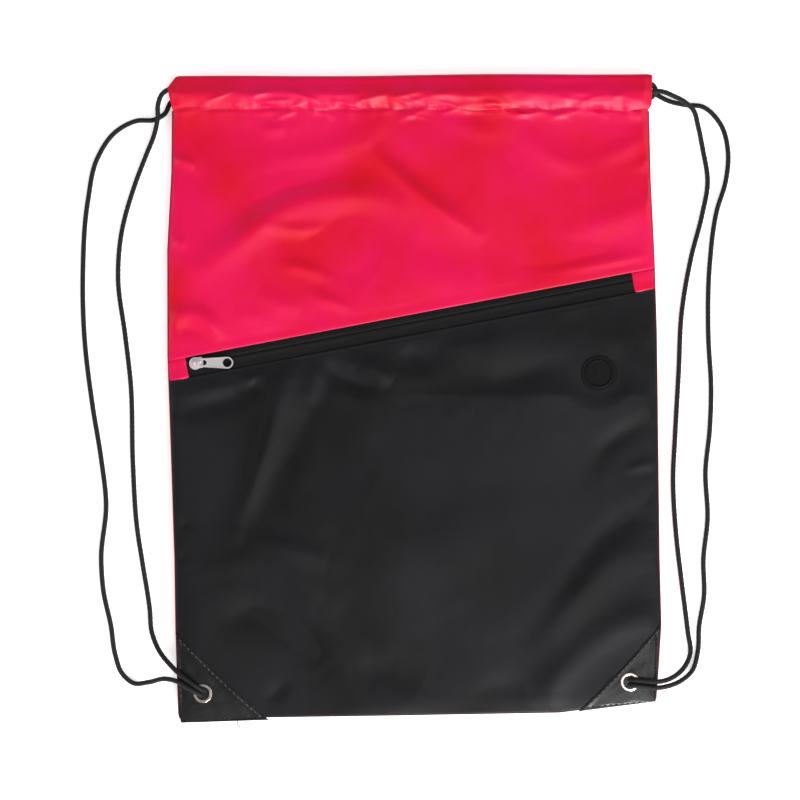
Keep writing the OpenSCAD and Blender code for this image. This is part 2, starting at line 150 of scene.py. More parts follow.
RIGHT_ROUTE = [(151.2, -202, 8.8), (151.7, -202.05, 12.2), (153.4, -202.1, 15.4), (157, -202.4, 17.3),
    (162, -203, 17.2), (168, -204, 16),
    (178, -203.5, 12), (189, -200, 6.5), (197.5, -193, 3), (201.5, -180, 1.8), (202.5, -162, 1.8),
    (206, -140, 1.8), (205.5, -115, 1.8), (208.5, -85, 1.8), (207, -52, 1.8), (210, -22, 1.8),
    (211, 5, 1.8), (209, 45, 1.8), (210, 95, 1.8), (215, 133, 1.8), (221.5, 155, 1.8),
    (223, 175, 1.8), (218, 194, 1.8), (205, 207, 1.8), (192, 208.5, 1.8), (180, 211.5, 2.1),
    (172, 215.5, 2.6), (162, 220, 2.7), (150, 221, 2.7), (0, 221, 2.7), (-150, 222, 2.7),
    (-164, 222, 2.7), (-169.1, 220.7, 4.3), (-171.2, 217.5, 8.3), (-169.1, 214.3, 12.3),
    (-164, 213, 13.9), (-150, 213, 13.9), (0, 213.5, 13.9), (152, 214, 13.9), (164, 215.8, 13.9),
    (174, 216.8, 13.2), (184, 213.5, 11), (192, 209.5, 8.4), (198, 204, 6.6), (201.5, 193, 4.4),
    (205, 177, 2.2), (208.5, 154, 1.8), (204.5, 130, 1.8), (197, 101, 1.8), (190, 60, 1.8),
    (188, 20, 1.8), (185.5, -25, 1.8), (184, -58, 1.8), (186, -95, 1.8), (190, -130, 1.8),
    (194.5, -166, 1.8), (196, -181, 3.2), (190, -192, 7.2), (180, -198.3, 12), (169, -199.8, 16),
    (162.5, -199.1, 17.2), (157.2, -198.6, 17.3), (153.6, -198.4, 15.4), (151.9, -198.35, 12.2),
    (151.4, -198.3, 8.8)]
CORD_D = 3.6 * MM
print("cord routes of", len(LEFT_ROUTE), "and", len(RIGHT_ROUTE), "points")

# %% [markdown]
# ## Curve through a route
# A limp cord has no corners. A cubic between each two points, with its tangents weighted by the distances
# on either side, passes through every point and overshoots little. It is then cut into even steps.

# %% Smooth curve through a route
def smooth_route(route, step):
    """Even points, `step` apart, on a smooth curve through the route."""
    p = np.array(route, float) * MM
    d = np.linalg.norm(np.diff(p, axis=0), axis=1)
    slope = np.diff(p, axis=0) / d[:, None]
    inner = (slope[:-1] * d[1:, None] + slope[1:] * d[:-1, None]) / (d[:-1] + d[1:])[:, None]
    tangent = np.vstack([slope[:1], inner, slope[-1:]])
    out = []
    for i in range(len(d)):
        t = np.linspace(0, 1, max(int(d[i] / step * 2), 4), endpoint=False)[:, None]
        out.append((2 * t**3 - 3 * t**2 + 1) * p[i] + (t**3 - 2 * t**2 + t) * d[i] * tangent[i]
                   + (3 * t**2 - 2 * t**3) * p[i + 1] + (t**3 - t**2) * d[i] * tangent[i + 1])
    line = np.vstack(out + [p[-1:]])
    run = np.concatenate([[0], np.cumsum(np.linalg.norm(np.diff(line, axis=0), axis=1))])
    even = np.linspace(0, run[-1], int(run[-1] / step) + 1)
    return np.stack([np.interp(even, run, line[:, k]) for k in range(3)], axis=1), run[-1]


def carried_frames(line):
    """A side and an up direction at each point that turn no more than the line does."""
    t = np.gradient(line, axis=0)
    t /= np.linalg.norm(t, axis=1)[:, None]
    side = np.cross(t[0], (0, 0, 1))
    side /= np.linalg.norm(side)
    sides = []
    for k in range(len(line)):
        side = side - t[k] * side.dot(t[k])
        side /= np.linalg.norm(side)
        sides.append(side)
    sides = np.array(sides)
    return sides, np.cross(t, sides)


# %% [markdown]
# ## Braid
# A round braid is two sets of yarns that wind opposite ways and pass over and under each other. Here the
# tube itself carries it: the radius swells where a yarn comes to the outside, along one set of helices
# and then the other. The swelling is small, a few hundredths of the diameter.

# %% Braided tube
BRAID_YARNS = 4
BRAID_PITCH = 7.0 * MM
BRAID_SWELL = 0.11 * MM
TUBE_SIDES = 18
RING_STEP = 0.75 * MM


def tube(name, line, radii, sides_count):
    """Closed tube along a line; `radii` is one radius, or one for each point of each ring."""
    sides, ups = carried_frames(line)
    angle = np.arange(sides_count) * 2 * math.pi / sides_count
    r = np.broadcast_to(radii, (len(line), sides_count))
    ring = (line[:, None, :] + r[..., None] * (np.cos(angle)[None, :, None] * sides[:, None, :]
            + np.sin(angle)[None, :, None] * ups[:, None, :]))
    faces = grid_faces(len(line), sides_count, wrap=True)
    faces.append(tuple(range(sides_count - 1, -1, -1)))
    faces.append(tuple((len(line) - 1) * sides_count + k for k in range(sides_count)))
    return new_object(name, ring.reshape(-1, 3), faces)


def braided_tube(name, line, radius):
    angle = np.arange(TUBE_SIDES) * 2 * math.pi / TUBE_SIDES
    along = np.arange(len(line))[:, None] * RING_STEP / BRAID_PITCH * 2 * math.pi
    one = np.sin(BRAID_YARNS * angle + along * BRAID_YARNS / 2)
    other = np.sin(BRAID_YARNS * angle - along * BRAID_YARNS / 2)
    obj = tube(name, line, radius - BRAID_SWELL + BRAID_SWELL * np.maximum(one, other), TUBE_SIDES)
    uv = obj.data.uv_layers.new(name="run")
    index = np.empty(len(obj.data.loops), int)
    obj.data.loops.foreach_get("vertex_index", index)
    v = (index % TUBE_SIDES) / TUBE_SIDES
    u = (index // TUBE_SIDES) * RING_STEP / BRAID_PITCH
    uv.data.foreach_set("uv", np.stack([u, v], axis=1).astype(np.float32).ravel())
    return obj


cords = {}
for side, route in (("left", LEFT_ROUTE), ("right", RIGHT_ROUTE)):
    line, run = smooth_route(route, RING_STEP)
    piece = braided_tube(f"drawcord_{side}", line, CORD_D / 2)
    cords[side] = (piece, line, run)
    print(piece.name, "is", round(run, 3), "m long")

# %% [markdown]
# ## Knots
# Behind each corner the two ends are tied together in one overhand knot, too big for the eyelet's bore.
# The middle of such a knot is a trefoil, a curve with a simple formula, flattened as it lies on the floor.
# The two short tails lie away from the corner, under the bag.

# %% Knots
KNOT_SPREAD = 1.75
KNOT_MIDDLE = 4.3


def knot_piece(name, at):
    turn = np.linspace(0, 2 * math.pi, 150)
    x = (np.sin(turn) + 2 * np.sin(2 * turn)) * KNOT_SPREAD
    y = (np.cos(turn) - 2 * np.cos(2 * turn)) * KNOT_SPREAD
    z = KNOT_MIDDLE - np.sin(3 * turn) * 2.0
    loop = np.stack([at[0] + x, at[1] + y, z], axis=1) * MM
    parts = [loop]
    for s in (-1, 1):
        tail = [(at[0] + s * 2.2, at[1] + 0.5, 6.0), (at[0] + s * 4.0, at[1] + 4, 4.0),
                (at[0] + s * 4.5, at[1] + 9, 2.2), (at[0] + s * 3.2, at[1] + 15, 1.9),
                (at[0] + s * 3.8, at[1] + 20, 1.9)]
        parts.append(smooth_route(tail, RING_STEP)[0])
    tubes = [braided_tube(f"{name}_{k}", p, CORD_D / 2 - 0.05 * MM) for k, p in enumerate(parts)]
    return join(name, tubes)


def join(name, objects):
    with bpy.context.temp_override(active_object=objects[0], selected_editable_objects=objects):
        bpy.ops.object.join()
    objects[0].name = name
    return objects[0]


EYELETS = {}
for side in ("left", "right"):
    low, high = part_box(f"eyelet_{side}")
    EYELETS[side] = (np.array(low) + np.array(high)) / 2 / MM
knots = {side: knot_piece(f"cord_end_knot_{side}", EYELETS[side]) for side in ("left", "right")}
for side, (piece, line, run) in cords.items():
    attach(piece, "bag")
    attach(knots[side], "bag")
    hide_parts(f"cord_{side}")
    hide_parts(f"cord_knot_{side}")

# %% [markdown]
# ## The bag's outline
# Cloth never lies as square as its pattern. These few points give the finished edge as it lies, in
# millimetres, and everything sewn to the edge is worked out from them.

# %% Outline
LEFT_EDGE = [(-229, -164.5), (-223, -166), (-163, -168), (-114, -168.7), (-43, -171), (30, -173.6),
             (105, -173.7), (160, -170.8), (204, -170.4), (212, -172.6), (219, -174), (226, -168.6),
             (230, -165)]
RIGHT_EDGE = [(-214, 170.6), (-160, 174.2), (-114, 173), (0, 171.6), (48, 171), (98, 169.4),
              (154, 166.6), (204, 165.4), (208, 167.6), (230, 168)]
BOTTOM_EDGE = [(-164.5, -229), (-104, -225.4), (-10, -224), (103, -222), (117, -220.2), (170.6, -214)]
ZIP_ANGLE = math.radians(10.8)
ZIP_Y = 54.2
STITCH_Y = 204.5
PLATEAU = 12.7


def left_x(y):
    return np.interp(y, *zip(*LEFT_EDGE))


def right_x(y):
    return np.interp(y, *zip(*RIGHT_EDGE))


def bottom_y(x):
    return np.interp(x, *zip(*BOTTOM_EDGE))


def zip_y(x, d):
    """y of the line at distance d from the zip's centre line, measured square to it."""
    return ZIP_Y + x * math.tan(ZIP_ANGLE) + d / math.cos(ZIP_ANGLE)


def ease(t):
    t = np.clip(t, 0, 1)
    return t * t * (3 - 2 * t)


def corner_nearness(x, y, reach=80):
    """1 at a bottom corner's eyelet, falling to 0 at `reach` from it."""
    near = 0
    for e in EYELETS.values():
        near = np.maximum(near, 1 - ease((np.hypot(x - e[0], y - e[1]) - 12) / reach))
    return near


def seam_z(x, y):
    """Height of the seams, which wave a little on the floor."""
    return 11.95 + 0.15 * np.sin(y / 23.0 + x / 90) + 0.12 * np.sin(y / 8.0)


# %% [markdown]
# ## Folds
# A fold in slack cloth is a ridge that starts and ends softly. Each is a short list of points on its
# crest with a width and a height, and a negative height makes a hollow. The slow waves between them
# have fixed phases, so the bag lies the same way each time.

# %% Folds
# Each entry: points on the crest, width, height.
RED_FOLDS = [
    ([(-150, 92), (-126, 108), (-101, 130), (-78, 140), (-38, 144), (-8, 138)], 10, 3.2),
    ([(-96, 126), (-72, 128), (-52, 132)], 7, 0.9),
    ([(-150, 112), (-128, 130), (-100, 150), (-60, 158)], 15, -1.0),
    ([(-32, 180), (-20, 166), (-3, 150), (16, 134), (44, 116)], 6, 2.7),
    ([(-6, 168), (14, 152), (36, 134)], 10, -0.8),
    ([(-104, 122), (-86, 118), (-62, 121)], 5, 1.6),
    ([(-92, 95), (-78, 92), (-62, 86)], 4.5, 1.6),
    ([(-72, 73), (-58, 68), (-44, 61)], 5, 1.7),
    ([(-112, 76), (-96, 66), (-78, 62)], 8, 1.3),
    ([(-82, 112), (-56, 104), (-26, 86)], 14, -1.1),
    ([(0, 112), (26, 102), (40, 84)], 13, -1.0),
    ([(-176, 56), (-160, 61), (-146, 56), (-138, 45), (-133, 36)], 6, 2.4),
    ([(-168, 48), (-156, 49), (-147, 42)], 5, -1.0),
    ([(-130, 62), (-112, 56), (-92, 50)], 8, 0.9),
    ([(96, 88), (118, 91), (146, 96), (172, 101)], 5, 1.9),
    ([(84, 98), (112, 102), (150, 110)], 9, -0.9),
    ([(-174, 170), (-162, 168), (-154, 162)], 4, 1.8),
    ([(-172, 112), (-160, 108)], 4, 1.1),
    ([(-108, 191), (-90, 189)], 5, 1.0),
    ([(76, 192), (86, 178), (102, 167), (128, 164)], 8, 1.2),
    ([(60, 196), (64, 180), (76, 160)], 9, -0.8),
    ([(-22, 203), (-31, 186), (-62, 172), (-100, 168)], 9, 1.2),
    ([(166, 187), (150, 176), (128, 168)], 6, 0.9),
    ([(171, 168), (158, 164)], 4, 1.2),
    ([(170, 140), (148, 128), (120, 122)], 9, 1.0),
    ([(20, 200), (40, 190), (66, 186)], 7, 0.9),
]
BLACK_FOLDS = [
    ([(-66, 30), (-70, 10), (-76, -6)], 7, 1.2),
    ([(-89, 24), (-98, -10), (-111, -54), (-127, -94)], 8, 2.0),
    ([(-64, 24), (-72, -4), (-84, -34), (-96, -66)], 9, -1.0),
    ([(-38, 26), (-26, 18), (-15, 10)], 7, 1.6),
    ([(-66, 28), (-48, 12), (-24, 7)], 7, -1.7),
    ([(-8, 36), (2, 24), (14, 30)], 10, -1.1),
    ([(44, 12), (66, 12), (92, 20), (118, 22)], 11, -1.6),
    ([(16, 40), (44, 34), (82, 42)], 12, 0.9),
    ([(-130, 20), (-118, 14), (-104, 22)], 5, 1.1),
    ([(-116, 12), (-108, 4)], 5, -0.9),
    ([(-168, -10), (-150, -6), (-132, -2), (-111, 8)], 8, -1.2),
    ([(-172, 14), (-150, 10), (-126, 8)], 6, 1.0),
    ([(174, -74), (138, -90), (118, -118), (80, -168)], 9, -1.1),
    ([(174, -103), (142, -111), (116, -136), (92, -170)], 13, 1.6),
    ([(175, -152), (146, -163), (110, -191), (86, -214)], 12, 3.3),
    ([(-24, 24), (4, 15), (32, 24)], 11, 1.0),
    ([(172, -14), (150, -22), (132, -36), (124, -56)], 7, -1.1),
    ([(174, -46), (160, -47), (150, -51)], 3.5, 0.5),
    ([(-134, -158), (-112, -148), (-82, -166), (-62, -190)], 11, -1.8),
    ([(-140, -118), (-112, -112), (-84, -126), (-62, -146)], 9, 1.1),
    ([(-122, -97), (-94, -105), (-58, -116)], 9, 1.5),
    ([(-172, -84), (-158, -90)], 3.5, -0.8),
    ([(-172, -108), (-160, -112)], 3.5, -0.8),
    ([(-40, -194), (-18, -190), (6, -204)], 11, -1.2),
    ([(-104, -214), (-90, -200)], 6, -0.8),
    ([(40, -212), (58, -202), (80, -206)], 8, -0.6),
    ([(70, -84), (20, -108), (-10, -150)], 26, 0.8),
    ([(-30, -60), (0, -72), (40, -60)], 24, -0.7),
]
wave_random = np.random.default_rng(7)
WAVES = [(wave_random.uniform(-1, 1) / w, wave_random.uniform(-1, 1) / w,
          wave_random.uniform(0, 6.28), a) for w, a in
         [(16, 0.30), (18, 0.30), (22, 0.32), (26, 0.35), (12, 0.2), (9, 0.13), (7, 0.09), (5, 0.05)]]


def rounded(crest, cuts=2):
    """The crest with its corners cut until it is smooth."""
    p = np.array(crest, float)
    for _ in range(cuts):
        inner = np.stack([p[:-1] * 0.75 + p[1:] * 0.25, p[:-1] * 0.25 + p[1:] * 0.75], axis=1).reshape(-1, 2)
        p = np.vstack([p[:1], inner, p[-1:]])
    return p


def fold_height(x, y, folds):
    total = np.zeros_like(x)
    for crest, width, height in folds:
        crest = rounded(crest)
        steps = np.linalg.norm(np.diff(crest, axis=0), axis=1)
        before = np.concatenate([[0], np.cumsum(steps)])
        best = np.full(x.shape, 1e9)
        where = np.zeros_like(x)
        for k in range(len(steps)):
            d = (crest[k + 1] - crest[k]) / steps[k]
            s = np.clip((x - crest[k, 0]) * d[0] + (y - crest[k, 1]) * d[1], 0, steps[k])
            away = np.hypot(x - crest[k, 0] - s * d[0], y - crest[k, 1] - s * d[1])
            closer = away < best
            best = np.where(closer, away, best)
            where = np.where(closer, before[k] + s, where)
        taper = np.sin(np.clip(where / before[-1], 0.04, 0.96) * math.pi) ** 0.6
        total += height * taper * np.exp(-(best / width) ** 2)
    return total


def slack_waves(x, y):
    """Slow, shallow waves of cloth that nothing pulls flat."""
    return sum(a * np.sin(fx * x + fy * y + phase) for fx, fy, phase, a in WAVES)


def edge_fall(x, y, plateau, reach=8):
    """Lets the cloth drop from its plateau to the seam along the sides, never twice the same."""
    from_side = np.minimum(x - left_x(y), right_x(y) - x)
    near = corner_nearness(x, y, 55)
    uneven = 0.32 * np.sin(y / 13.0) + 0.24 * np.sin(y / 5.3 + 2) + 0.4 * np.sin(y / 41.0 + x / 300)
    t = np.clip(from_side / (reach * (1 + uneven * (1 - near) + near)), 0, 1)
    k = 1 - (1 - t) ** 2.2
    return seam_z(x, y) * (1 - k) + plateau * k


print(len(RED_FOLDS), "folds in the red cloth,", len(BLACK_FOLDS), "in the black")

# %% [markdown]
# ## Upper front panel
# One piece of red cloth. Its lower edge is turned under along the zip, it covers the upper front, and
# its top is folded over the cords and sewn down along a stitch line that puckers it. The grid follows
# the cloth itself, from the turned-under edge up to the seam and round the tunnel, so it stays one sheet.

# %% Upper front panel
CLOTH = 0.45
RED_EDGE = 5.3
RED_OVER = 0.2
# Distance from the fold and height over the cloth, from the hidden turn-under out and back.
TURNED_EDGE = [(6.5, -0.95), (3.0, -0.95), (0.8, -0.92), (0.15, -0.75), (0.0, -0.35), (0.3, -0.08),
               (1.0, 0.02), (2.2, 0.05), (4.0, 0.05), (6.5, 0.0)]
# Distance above the stitch line and height: over the cords, round the top and back under them.
TUNNEL_SECTION = [(0.4, 14.4), (1.0, 14.9), (1.8, 15.4), (2.6, 15.85), (3.5, 16.3), (4.5, 16.8),
                  (5.5, 17.25), (6.5, 17.65), (7.5, 18.0), (8.5, 18.25), (9.5, 18.4), (10.5, 18.45),
                  (11.5, 18.35), (12.5, 18.15), (13.5, 17.85), (15, 17.4), (17, 16.85), (19, 16.45),
                  (20.5, 16.3), (22.2, 15.9), (23.5, 15.1), (24.2, 13.9), (24.0, 12.6), (22.8, 11.9),
                  (20, 11.4), (15, 11.3), (9, 11.4), (4, 12.2), (1.0, 13.4)]
TUNNEL_WIDTH = 24.2
PUCKER_SEED = 11


def pucker(x, away, height, seed=PUCKER_SEED):
    """Little gathers that run out from a stitch line; `away` is the distance from it."""
    rng = np.random.default_rng(seed)
    out = np.zeros_like(x)
    for width, share in ((23, 0.5), (14, 0.6), (8.5, 0.45), (5.2, 0.2)):
        lean = rng.uniform(-0.5, 0.5)
        drift = 1.6 * np.sin(x / rng.uniform(30, 60) + rng.uniform(0, 6))
        wave = np.sin((x + lean * away) / width * 2 * math.pi + drift + rng.uniform(0, 6))
        strength = 0.6 + 0.4 * np.sin(x / rng.uniform(18, 40) + rng.uniform(0, 6))
        out += share * strength * wave
    return out * height


def hem_wrinkles(x, away):
    """Short flat wrinkles that run along a tunnel, where the gathered cloth has creased."""
    sway = 2.4 * np.sin(x / 23.0) + 1.6 * np.sin(x / 9.3 + 1) + 0.9 * np.sin(x / 4.1 + 4)
    a = np.sin((away + sway) / 1.9 + 0.9 * np.sin(x / 13.0))
    b = np.sin((away * 0.8 - sway * 0.7) / 1.35 + x / 15.0)
    c = np.sin(x / 5.3 + away / 2.2 + 1.3 * np.sin(x / 23.0))
    strength = 0.7 + 0.3 * np.sin(x / 27.0 + 2) * np.sin(x / 12.0)
    return (0.55 * a + 0.36 * b + 0.3 * c) * strength


# Short creases of the gathered hem, each as in the lists of folds, with y measured from the stitch line.
hem_random = np.random.default_rng(23)
HEM_FOLDS = []
for _ in range(64):
    at, rise = hem_random.uniform(-166, 164), hem_random.uniform(-6, 10.5)
    half, lean = hem_random.uniform(4, 13), hem_random.normal(0, 0.25)
    HEM_FOLDS.append(([(at - half, rise - lean * half), (at, rise + hem_random.uniform(-1, 1)),
                       (at + half, rise + lean * half)],
                      hem_random.uniform(1.3, 2.3), hem_random.uniform(0.35, 0.85)))


def stitch_wander(x):
    """How far the gathered stitch line strays from straight."""
    return 0.8 * np.sin(x / 9.0) + 0.5 * np.sin(x / 4.3 + 1) + 0.5 * np.sin(x / 17.0 + 2)


def tunnel_y(x, rise):
    """y of a point of the tunnel's section; the top edge climbs 2 mm from left to right."""
    top = 227.3 + (x + 167) / 335 * 2.0
    return STITCH_Y + rise * (top - STITCH_Y) / TUNNEL_WIDTH


def red_surface(x, y):
    """Height of the red panel's outer face."""
    below = STITCH_Y - y
    calm = ease((y - zip_y(x, RED_EDGE)) / 22) * ease((below + 8) / 26)
    z = PLATEAU + RED_OVER + calm * (fold_height(x, y, RED_FOLDS) + slack_waves(x, y))
    z = z + 1.5 * np.exp(-below / 10.0)
    gathers = pucker(x, -below, 0.5) * np.exp(-below / 5.0)
    gathers = gathers + 0.4 * hem_wrinkles(x, below) * np.exp(-below / 6.5)
    gathers = gathers + fold_height(x, -below, HEM_FOLDS) * np.exp(-below / 14.0)
    z = z + gathers - 0.5 * np.exp(-(below / 1.8) ** 2)
    return edge_fall(x, y, np.maximum(z, 12.2))


def front_grid(columns=360, rows=110):
    s = np.linspace(0, 1, columns)
    lines = []
    x_edge = left_x(45) + (right_x(90) - left_x(45)) * s
    for d, rise in TURNED_EDGE:
        x = x_edge
        y = zip_y(x, RED_EDGE + d)
        level = PLATEAU + RED_OVER + 0.12 * np.sin(x / 13.0)
        lines.append(np.stack([x, y, edge_fall(x, y, level) + rise], axis=1))
    start = zip_y(x_edge, RED_EDGE + 8.5)
    for k in range(rows):
        t = 1 - (1 - k / (rows - 1)) ** 1.5
        y = start * (1 - t) + (STITCH_Y - 0.2) * t
        y = y + stitch_wander(x_edge) * t**12
        x = left_x(y) + (right_x(y) - left_x(y)) * s
        lines.append(np.stack([x, y, red_surface(x, y)], axis=1))
    for rise, z in TUNNEL_SECTION:
        x0 = left_x(tunnel_y(-165, rise))
        x1 = right_x(tunnel_y(165, rise))
        upper = z > 14.0 or rise < 3
        if not upper:
            x0, x1 = max(x0, -165.5), min(x1, 164.5)
        x = x0 + (x1 - x0) * s
        y = tunnel_y(x, rise) + 0.4 * np.sin(x / 31) + stitch_wander(x) * math.exp(-rise / 3)
        wrinkled = math.exp(-((rise - 6) / 6.5) ** 2) if upper else 0
        high = z + pucker(x, rise, 0.5) * math.exp(-rise / 4.0) + 0.5 * hem_wrinkles(x, rise) * wrinkled
        if upper:
            high = high + fold_height(x, np.full(columns, rise), HEM_FOLDS)
        high = high + (0.25 * np.sin(x / 24.0) + 0.12 * np.sin(x / 9.0)) * (1 if upper else 0)
        if upper and rise > 5:
            high = np.maximum(high, min(z, 16.3))
        ends = ease(np.minimum(x - x0, x1 - x) / 7)
        high = high * (0.55 + 0.45 * ends) + 13.9 * 0.45 * (1 - ends)
        lines.append(np.stack([x, y, high], axis=1))
    return np.array(lines) * MM


front = sheet_object("front_cloth", front_grid(), CLOTH * MM)
print("front cloth", round(area_of(front), 4), "m2 of surface")

# %% [markdown]
# ## Pocket panel
# The black cloth is sewn into the side and bottom seams. Its top edge is turned under and stitched to
# the lower zip tape. It is the loosest piece of the bag, so it carries the broadest folds, and a sharp
# line across it shows where it was folded in its packet.

# %% Pocket panel
POCKET_EDGE = -8.7
POCKET_CORNERS = (-164.3, 170.4)
PACKET_CREASE_Y = 2.5
PORT_LOW, PORT_HIGH = (np.array(v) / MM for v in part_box("earphone_port"))
PORT_AT = (PORT_LOW + PORT_HIGH) / 2


def pocket_surface(x, y):
    """Height of the pocket cloth's outer face."""
    gap = zip_y(x, POCKET_EDGE) - y
    calm = ease(gap / 16) * (1 - 0.93 * corner_nearness(x, y, 48))
    port = ease((np.hypot(x - PORT_AT[0], y - PORT_AT[1]) - 13.5) / 14)
    crease = y - PACKET_CREASE_Y
    z = fold_height(x, y, BLACK_FOLDS) + slack_waves(y * 0.9, x * 0.9)
    strength = 0.5 + 0.25 * np.sin(x / 31.0 + 1.3) + 1.1 * np.exp(-((x - 112) / 58) ** 2)
    z = z + strength * np.exp(-np.where(crease > 0, crease / 10.0, -crease / 24.0))
    near_side = np.minimum(x - left_x(y), right_x(y) - x)
    z = np.maximum(z, -0.5 - 1.1 * ease(near_side / 16))
    tuck = pucker(y, near_side, 0.16, seed=4) * np.exp(-near_side / 9.0)
    tuck = tuck + pucker(x, gap, 0.22, seed=9) * np.exp(-gap / 8.0)
    z = PLATEAU + (z + tuck) * calm * port
    z = z - 0.45 * np.exp(-((gap - 1.2) / 0.8) ** 2)
    z = edge_fall(x, y, z)
    uneven = (2 * np.sin(x / 17.0) + 1.2 * np.sin(x / 6.1)) * (1 - corner_nearness(x, y, 55))
    k = 1 - (1 - np.clip((y - bottom_y(x)) / (13 + uneven), 0, 1)) ** 2.2
    return seam_z(x, y) * (1 - k) + z * k


def pocket_grid(columns=250, rows=190):
    s = np.linspace(0, 1, columns)
    x_top = left_x(15) + (right_x(75) - left_x(15)) * s
    x_low = POCKET_CORNERS[0] + (POCKET_CORNERS[1] - POCKET_CORNERS[0]) * s
    lines = []
    for d, rise in TURNED_EDGE[:7]:
        y = zip_y(x_top, POCKET_EDGE - d)
        lines.append(np.stack([x_top, y, edge_fall(x_top, y, PLATEAU - 0.05) + rise], axis=1))
    top = zip_y(x_top, POCKET_EDGE - 1.9)
    low = bottom_y(x_low)
    for k in range(rows):
        t = k / (rows - 1)
        t = t + 0.02 * math.sin(2 * math.pi * t)
        y = top * (1 - t) + low * t
        x = left_x(y) + (right_x(y) - left_x(y)) * s
        lines.append(np.stack([x, y, pocket_surface(x, y)], axis=1))
    return np.array(lines) * MM


pocket = sheet_object("pocket_cloth", pocket_grid()[::-1], CLOTH * MM)
print("pocket cloth", round(area_of(pocket), 4), "m2 of surface")

# %% [markdown]
# ## Back panel
# The back lies on the floor, turns up to the seams at the sides and the bottom, and its top is folded
# into the second tunnel. It is cut a little wider, so a thin red line of it shows past the black cloth.

# %% Back panel
BACK_TUNNEL = [(1.0, 0.55), (4, 0.5), (9, 0.5), (15, 0.5), (20, 0.6), (22.8, 0.95), (24.0, 1.9),
               (24.1, 3.2), (23.2, 4.3), (21.0, 5.0), (16, 5.3), (12, 5.3), (8.5, 5.2), (5.0, 4.6),
               (2.6, 3.6), (1.2, 2.4), (0.4, 1.4)]
BACK_CORNERS = (-165.2, 171.4)
ROLL = 0.05


def back_height(x, y):
    """Height of the back cloth's outer face, which is the one on the floor."""
    side = np.minimum(x - left_x(y), right_x(y) - x)
    low = y - bottom_y(x)
    rise = np.maximum(1 - ease(side / 26), 1 - ease(low / 26))
    rise = rise * (1 - 0.97 * ease((y - 150) / 52))
    corner = corner_nearness(x, y, 60)
    floor = 0.5 + 0.25 * (1 + np.sin(x / 21 + y / 37)) * ease(side / 30)
    z = floor * (1 - rise) + (seam_z(x, y) - 1.2) * rise
    return np.maximum(z, corner * 10.25)


def back_grid(columns=180, rows=170):
    s = np.linspace(0, 1, columns)
    lines = []
    x_low = BACK_CORNERS[0] + (BACK_CORNERS[1] - BACK_CORNERS[0]) * s
    y = bottom_y(x_low)
    lines.append(np.stack([x_low, y + 1.6, seam_z(x_low, y) - 0.75], axis=1))
    for k in range(rows):
        t = k / (rows - 1)
        y = (bottom_y(x_low) + 0.3) * (1 - t) + (STITCH_Y - 0.5) * t
        x0 = left_x(y) - ROLL
        x1 = right_x(y) + ROLL
        x = x0 + (x1 - x0) * s
        z = back_height(x, y)
        lines.append(np.stack([x, y, z], axis=1))
    for rise, z in BACK_TUNNEL:
        x = -165.5 + 330 * s
        wave = pucker(x, rise, 0.5 if z > 2 else 0.0, seed=21) * math.exp(-rise / 8.0)
        lines.append(np.stack([x, tunnel_y(x, rise), z + wave], axis=1))
    return np.array(lines) * MM


back = sheet_object("back_cloth", back_grid()[::-1], CLOTH * MM)
print("back cloth", round(area_of(back), 4), "m2 of surface")

# %% [markdown]
# ## Side piping
# Along the sides the back cloth rolls up over the seam. This narrow strip is that roll: it joins the
# back to the front edge, and it is what shows as the fine red line.

# %% Side rolls
def side_roll(name, edge, sign):
    ys = np.linspace(-226 if sign < 0 else -212, STITCH_Y - 1.5, 220)
    rows = []
    for out, up in ((0.0, -2.4), (0.3, -1.6), (0.42, -0.9), (0.3, -0.45), (0.05, -0.3), (-0.4, -0.4)):
        x = edge(ys) + sign * out
        rows.append(np.stack([x, ys, seam_z(edge(ys), ys) + up], axis=1))
    grid = np.array(rows) * MM
    return sheet_object(name, grid if sign < 0 else grid[::-1], 0.3 * MM)


rolls = [side_roll("seam_roll_left", left_x, -1), side_roll("seam_roll_right", right_x, 1)]

# %% [markdown]
# ## Pocket lining
# Behind the zip hangs the pocket's red back wall. It is hidden while the zip is shut, and lies slack
# between the back of the bag and the black cloth.

# %% Pocket lining
def lining_grid(columns=90, rows=90):
    s = np.linspace(0, 1, columns)
    x_low = -160 + 326 * s
    lines = []
    for k in range(rows):
        t = k / (rows - 1)
        y = zip_y(x_low, 13.0) * (1 - t) + (bottom_y(x_low) + 4) * t
        x = (left_x(y) + 4) * (1 - s) + (right_x(y) - 4) * s
        side = np.minimum(x - left_x(y), right_x(y) - x)
        inner = ease((side - 1) / 20) * ease((y - bottom_y(x) - 1) / 22)
        z = (seam_z(x, y) - 0.95) * (1 - inner) + 8.3 * inner
        z = np.maximum(z, 11.2 * (1 - ease((zip_y(x, 13) - y) / 7)))
        z = np.maximum(z, 10.95 * corner_nearness(x, y, 30))
        lines.append(np.stack([x, y, z], axis=1))
    return np.array(lines) * MM


lining = sheet_object("pocket_back_wall", lining_grid()[::-1], 0.4 * MM)

for piece, node, slot in ((front, "front_panel", "red_cloth"), (pocket, "pocket_panel", "black_cloth"),
                          (back, "back_panel", "red_cloth"), (lining, "pocket_lining", "red_cloth")):
    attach(piece, "bag")
    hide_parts(node)
for piece in rolls:
    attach(piece, "bag")

# %% [markdown]
# ## Zip tapes
# The zip is sewn in face down, so its smooth tape shows and its coil is behind. Each tape is domed over
# its half of the coil and dips where the two halves meet, which makes the dark line along the middle.

# %% Zip tapes
def along_zip(u, d):
    """x and y of the point u along the zip and d square to it."""
    cos, sin = math.cos(ZIP_ANGLE), math.sin(ZIP_ANGLE)
    return u * cos - d * sin, ZIP_Y + u * sin + d * cos


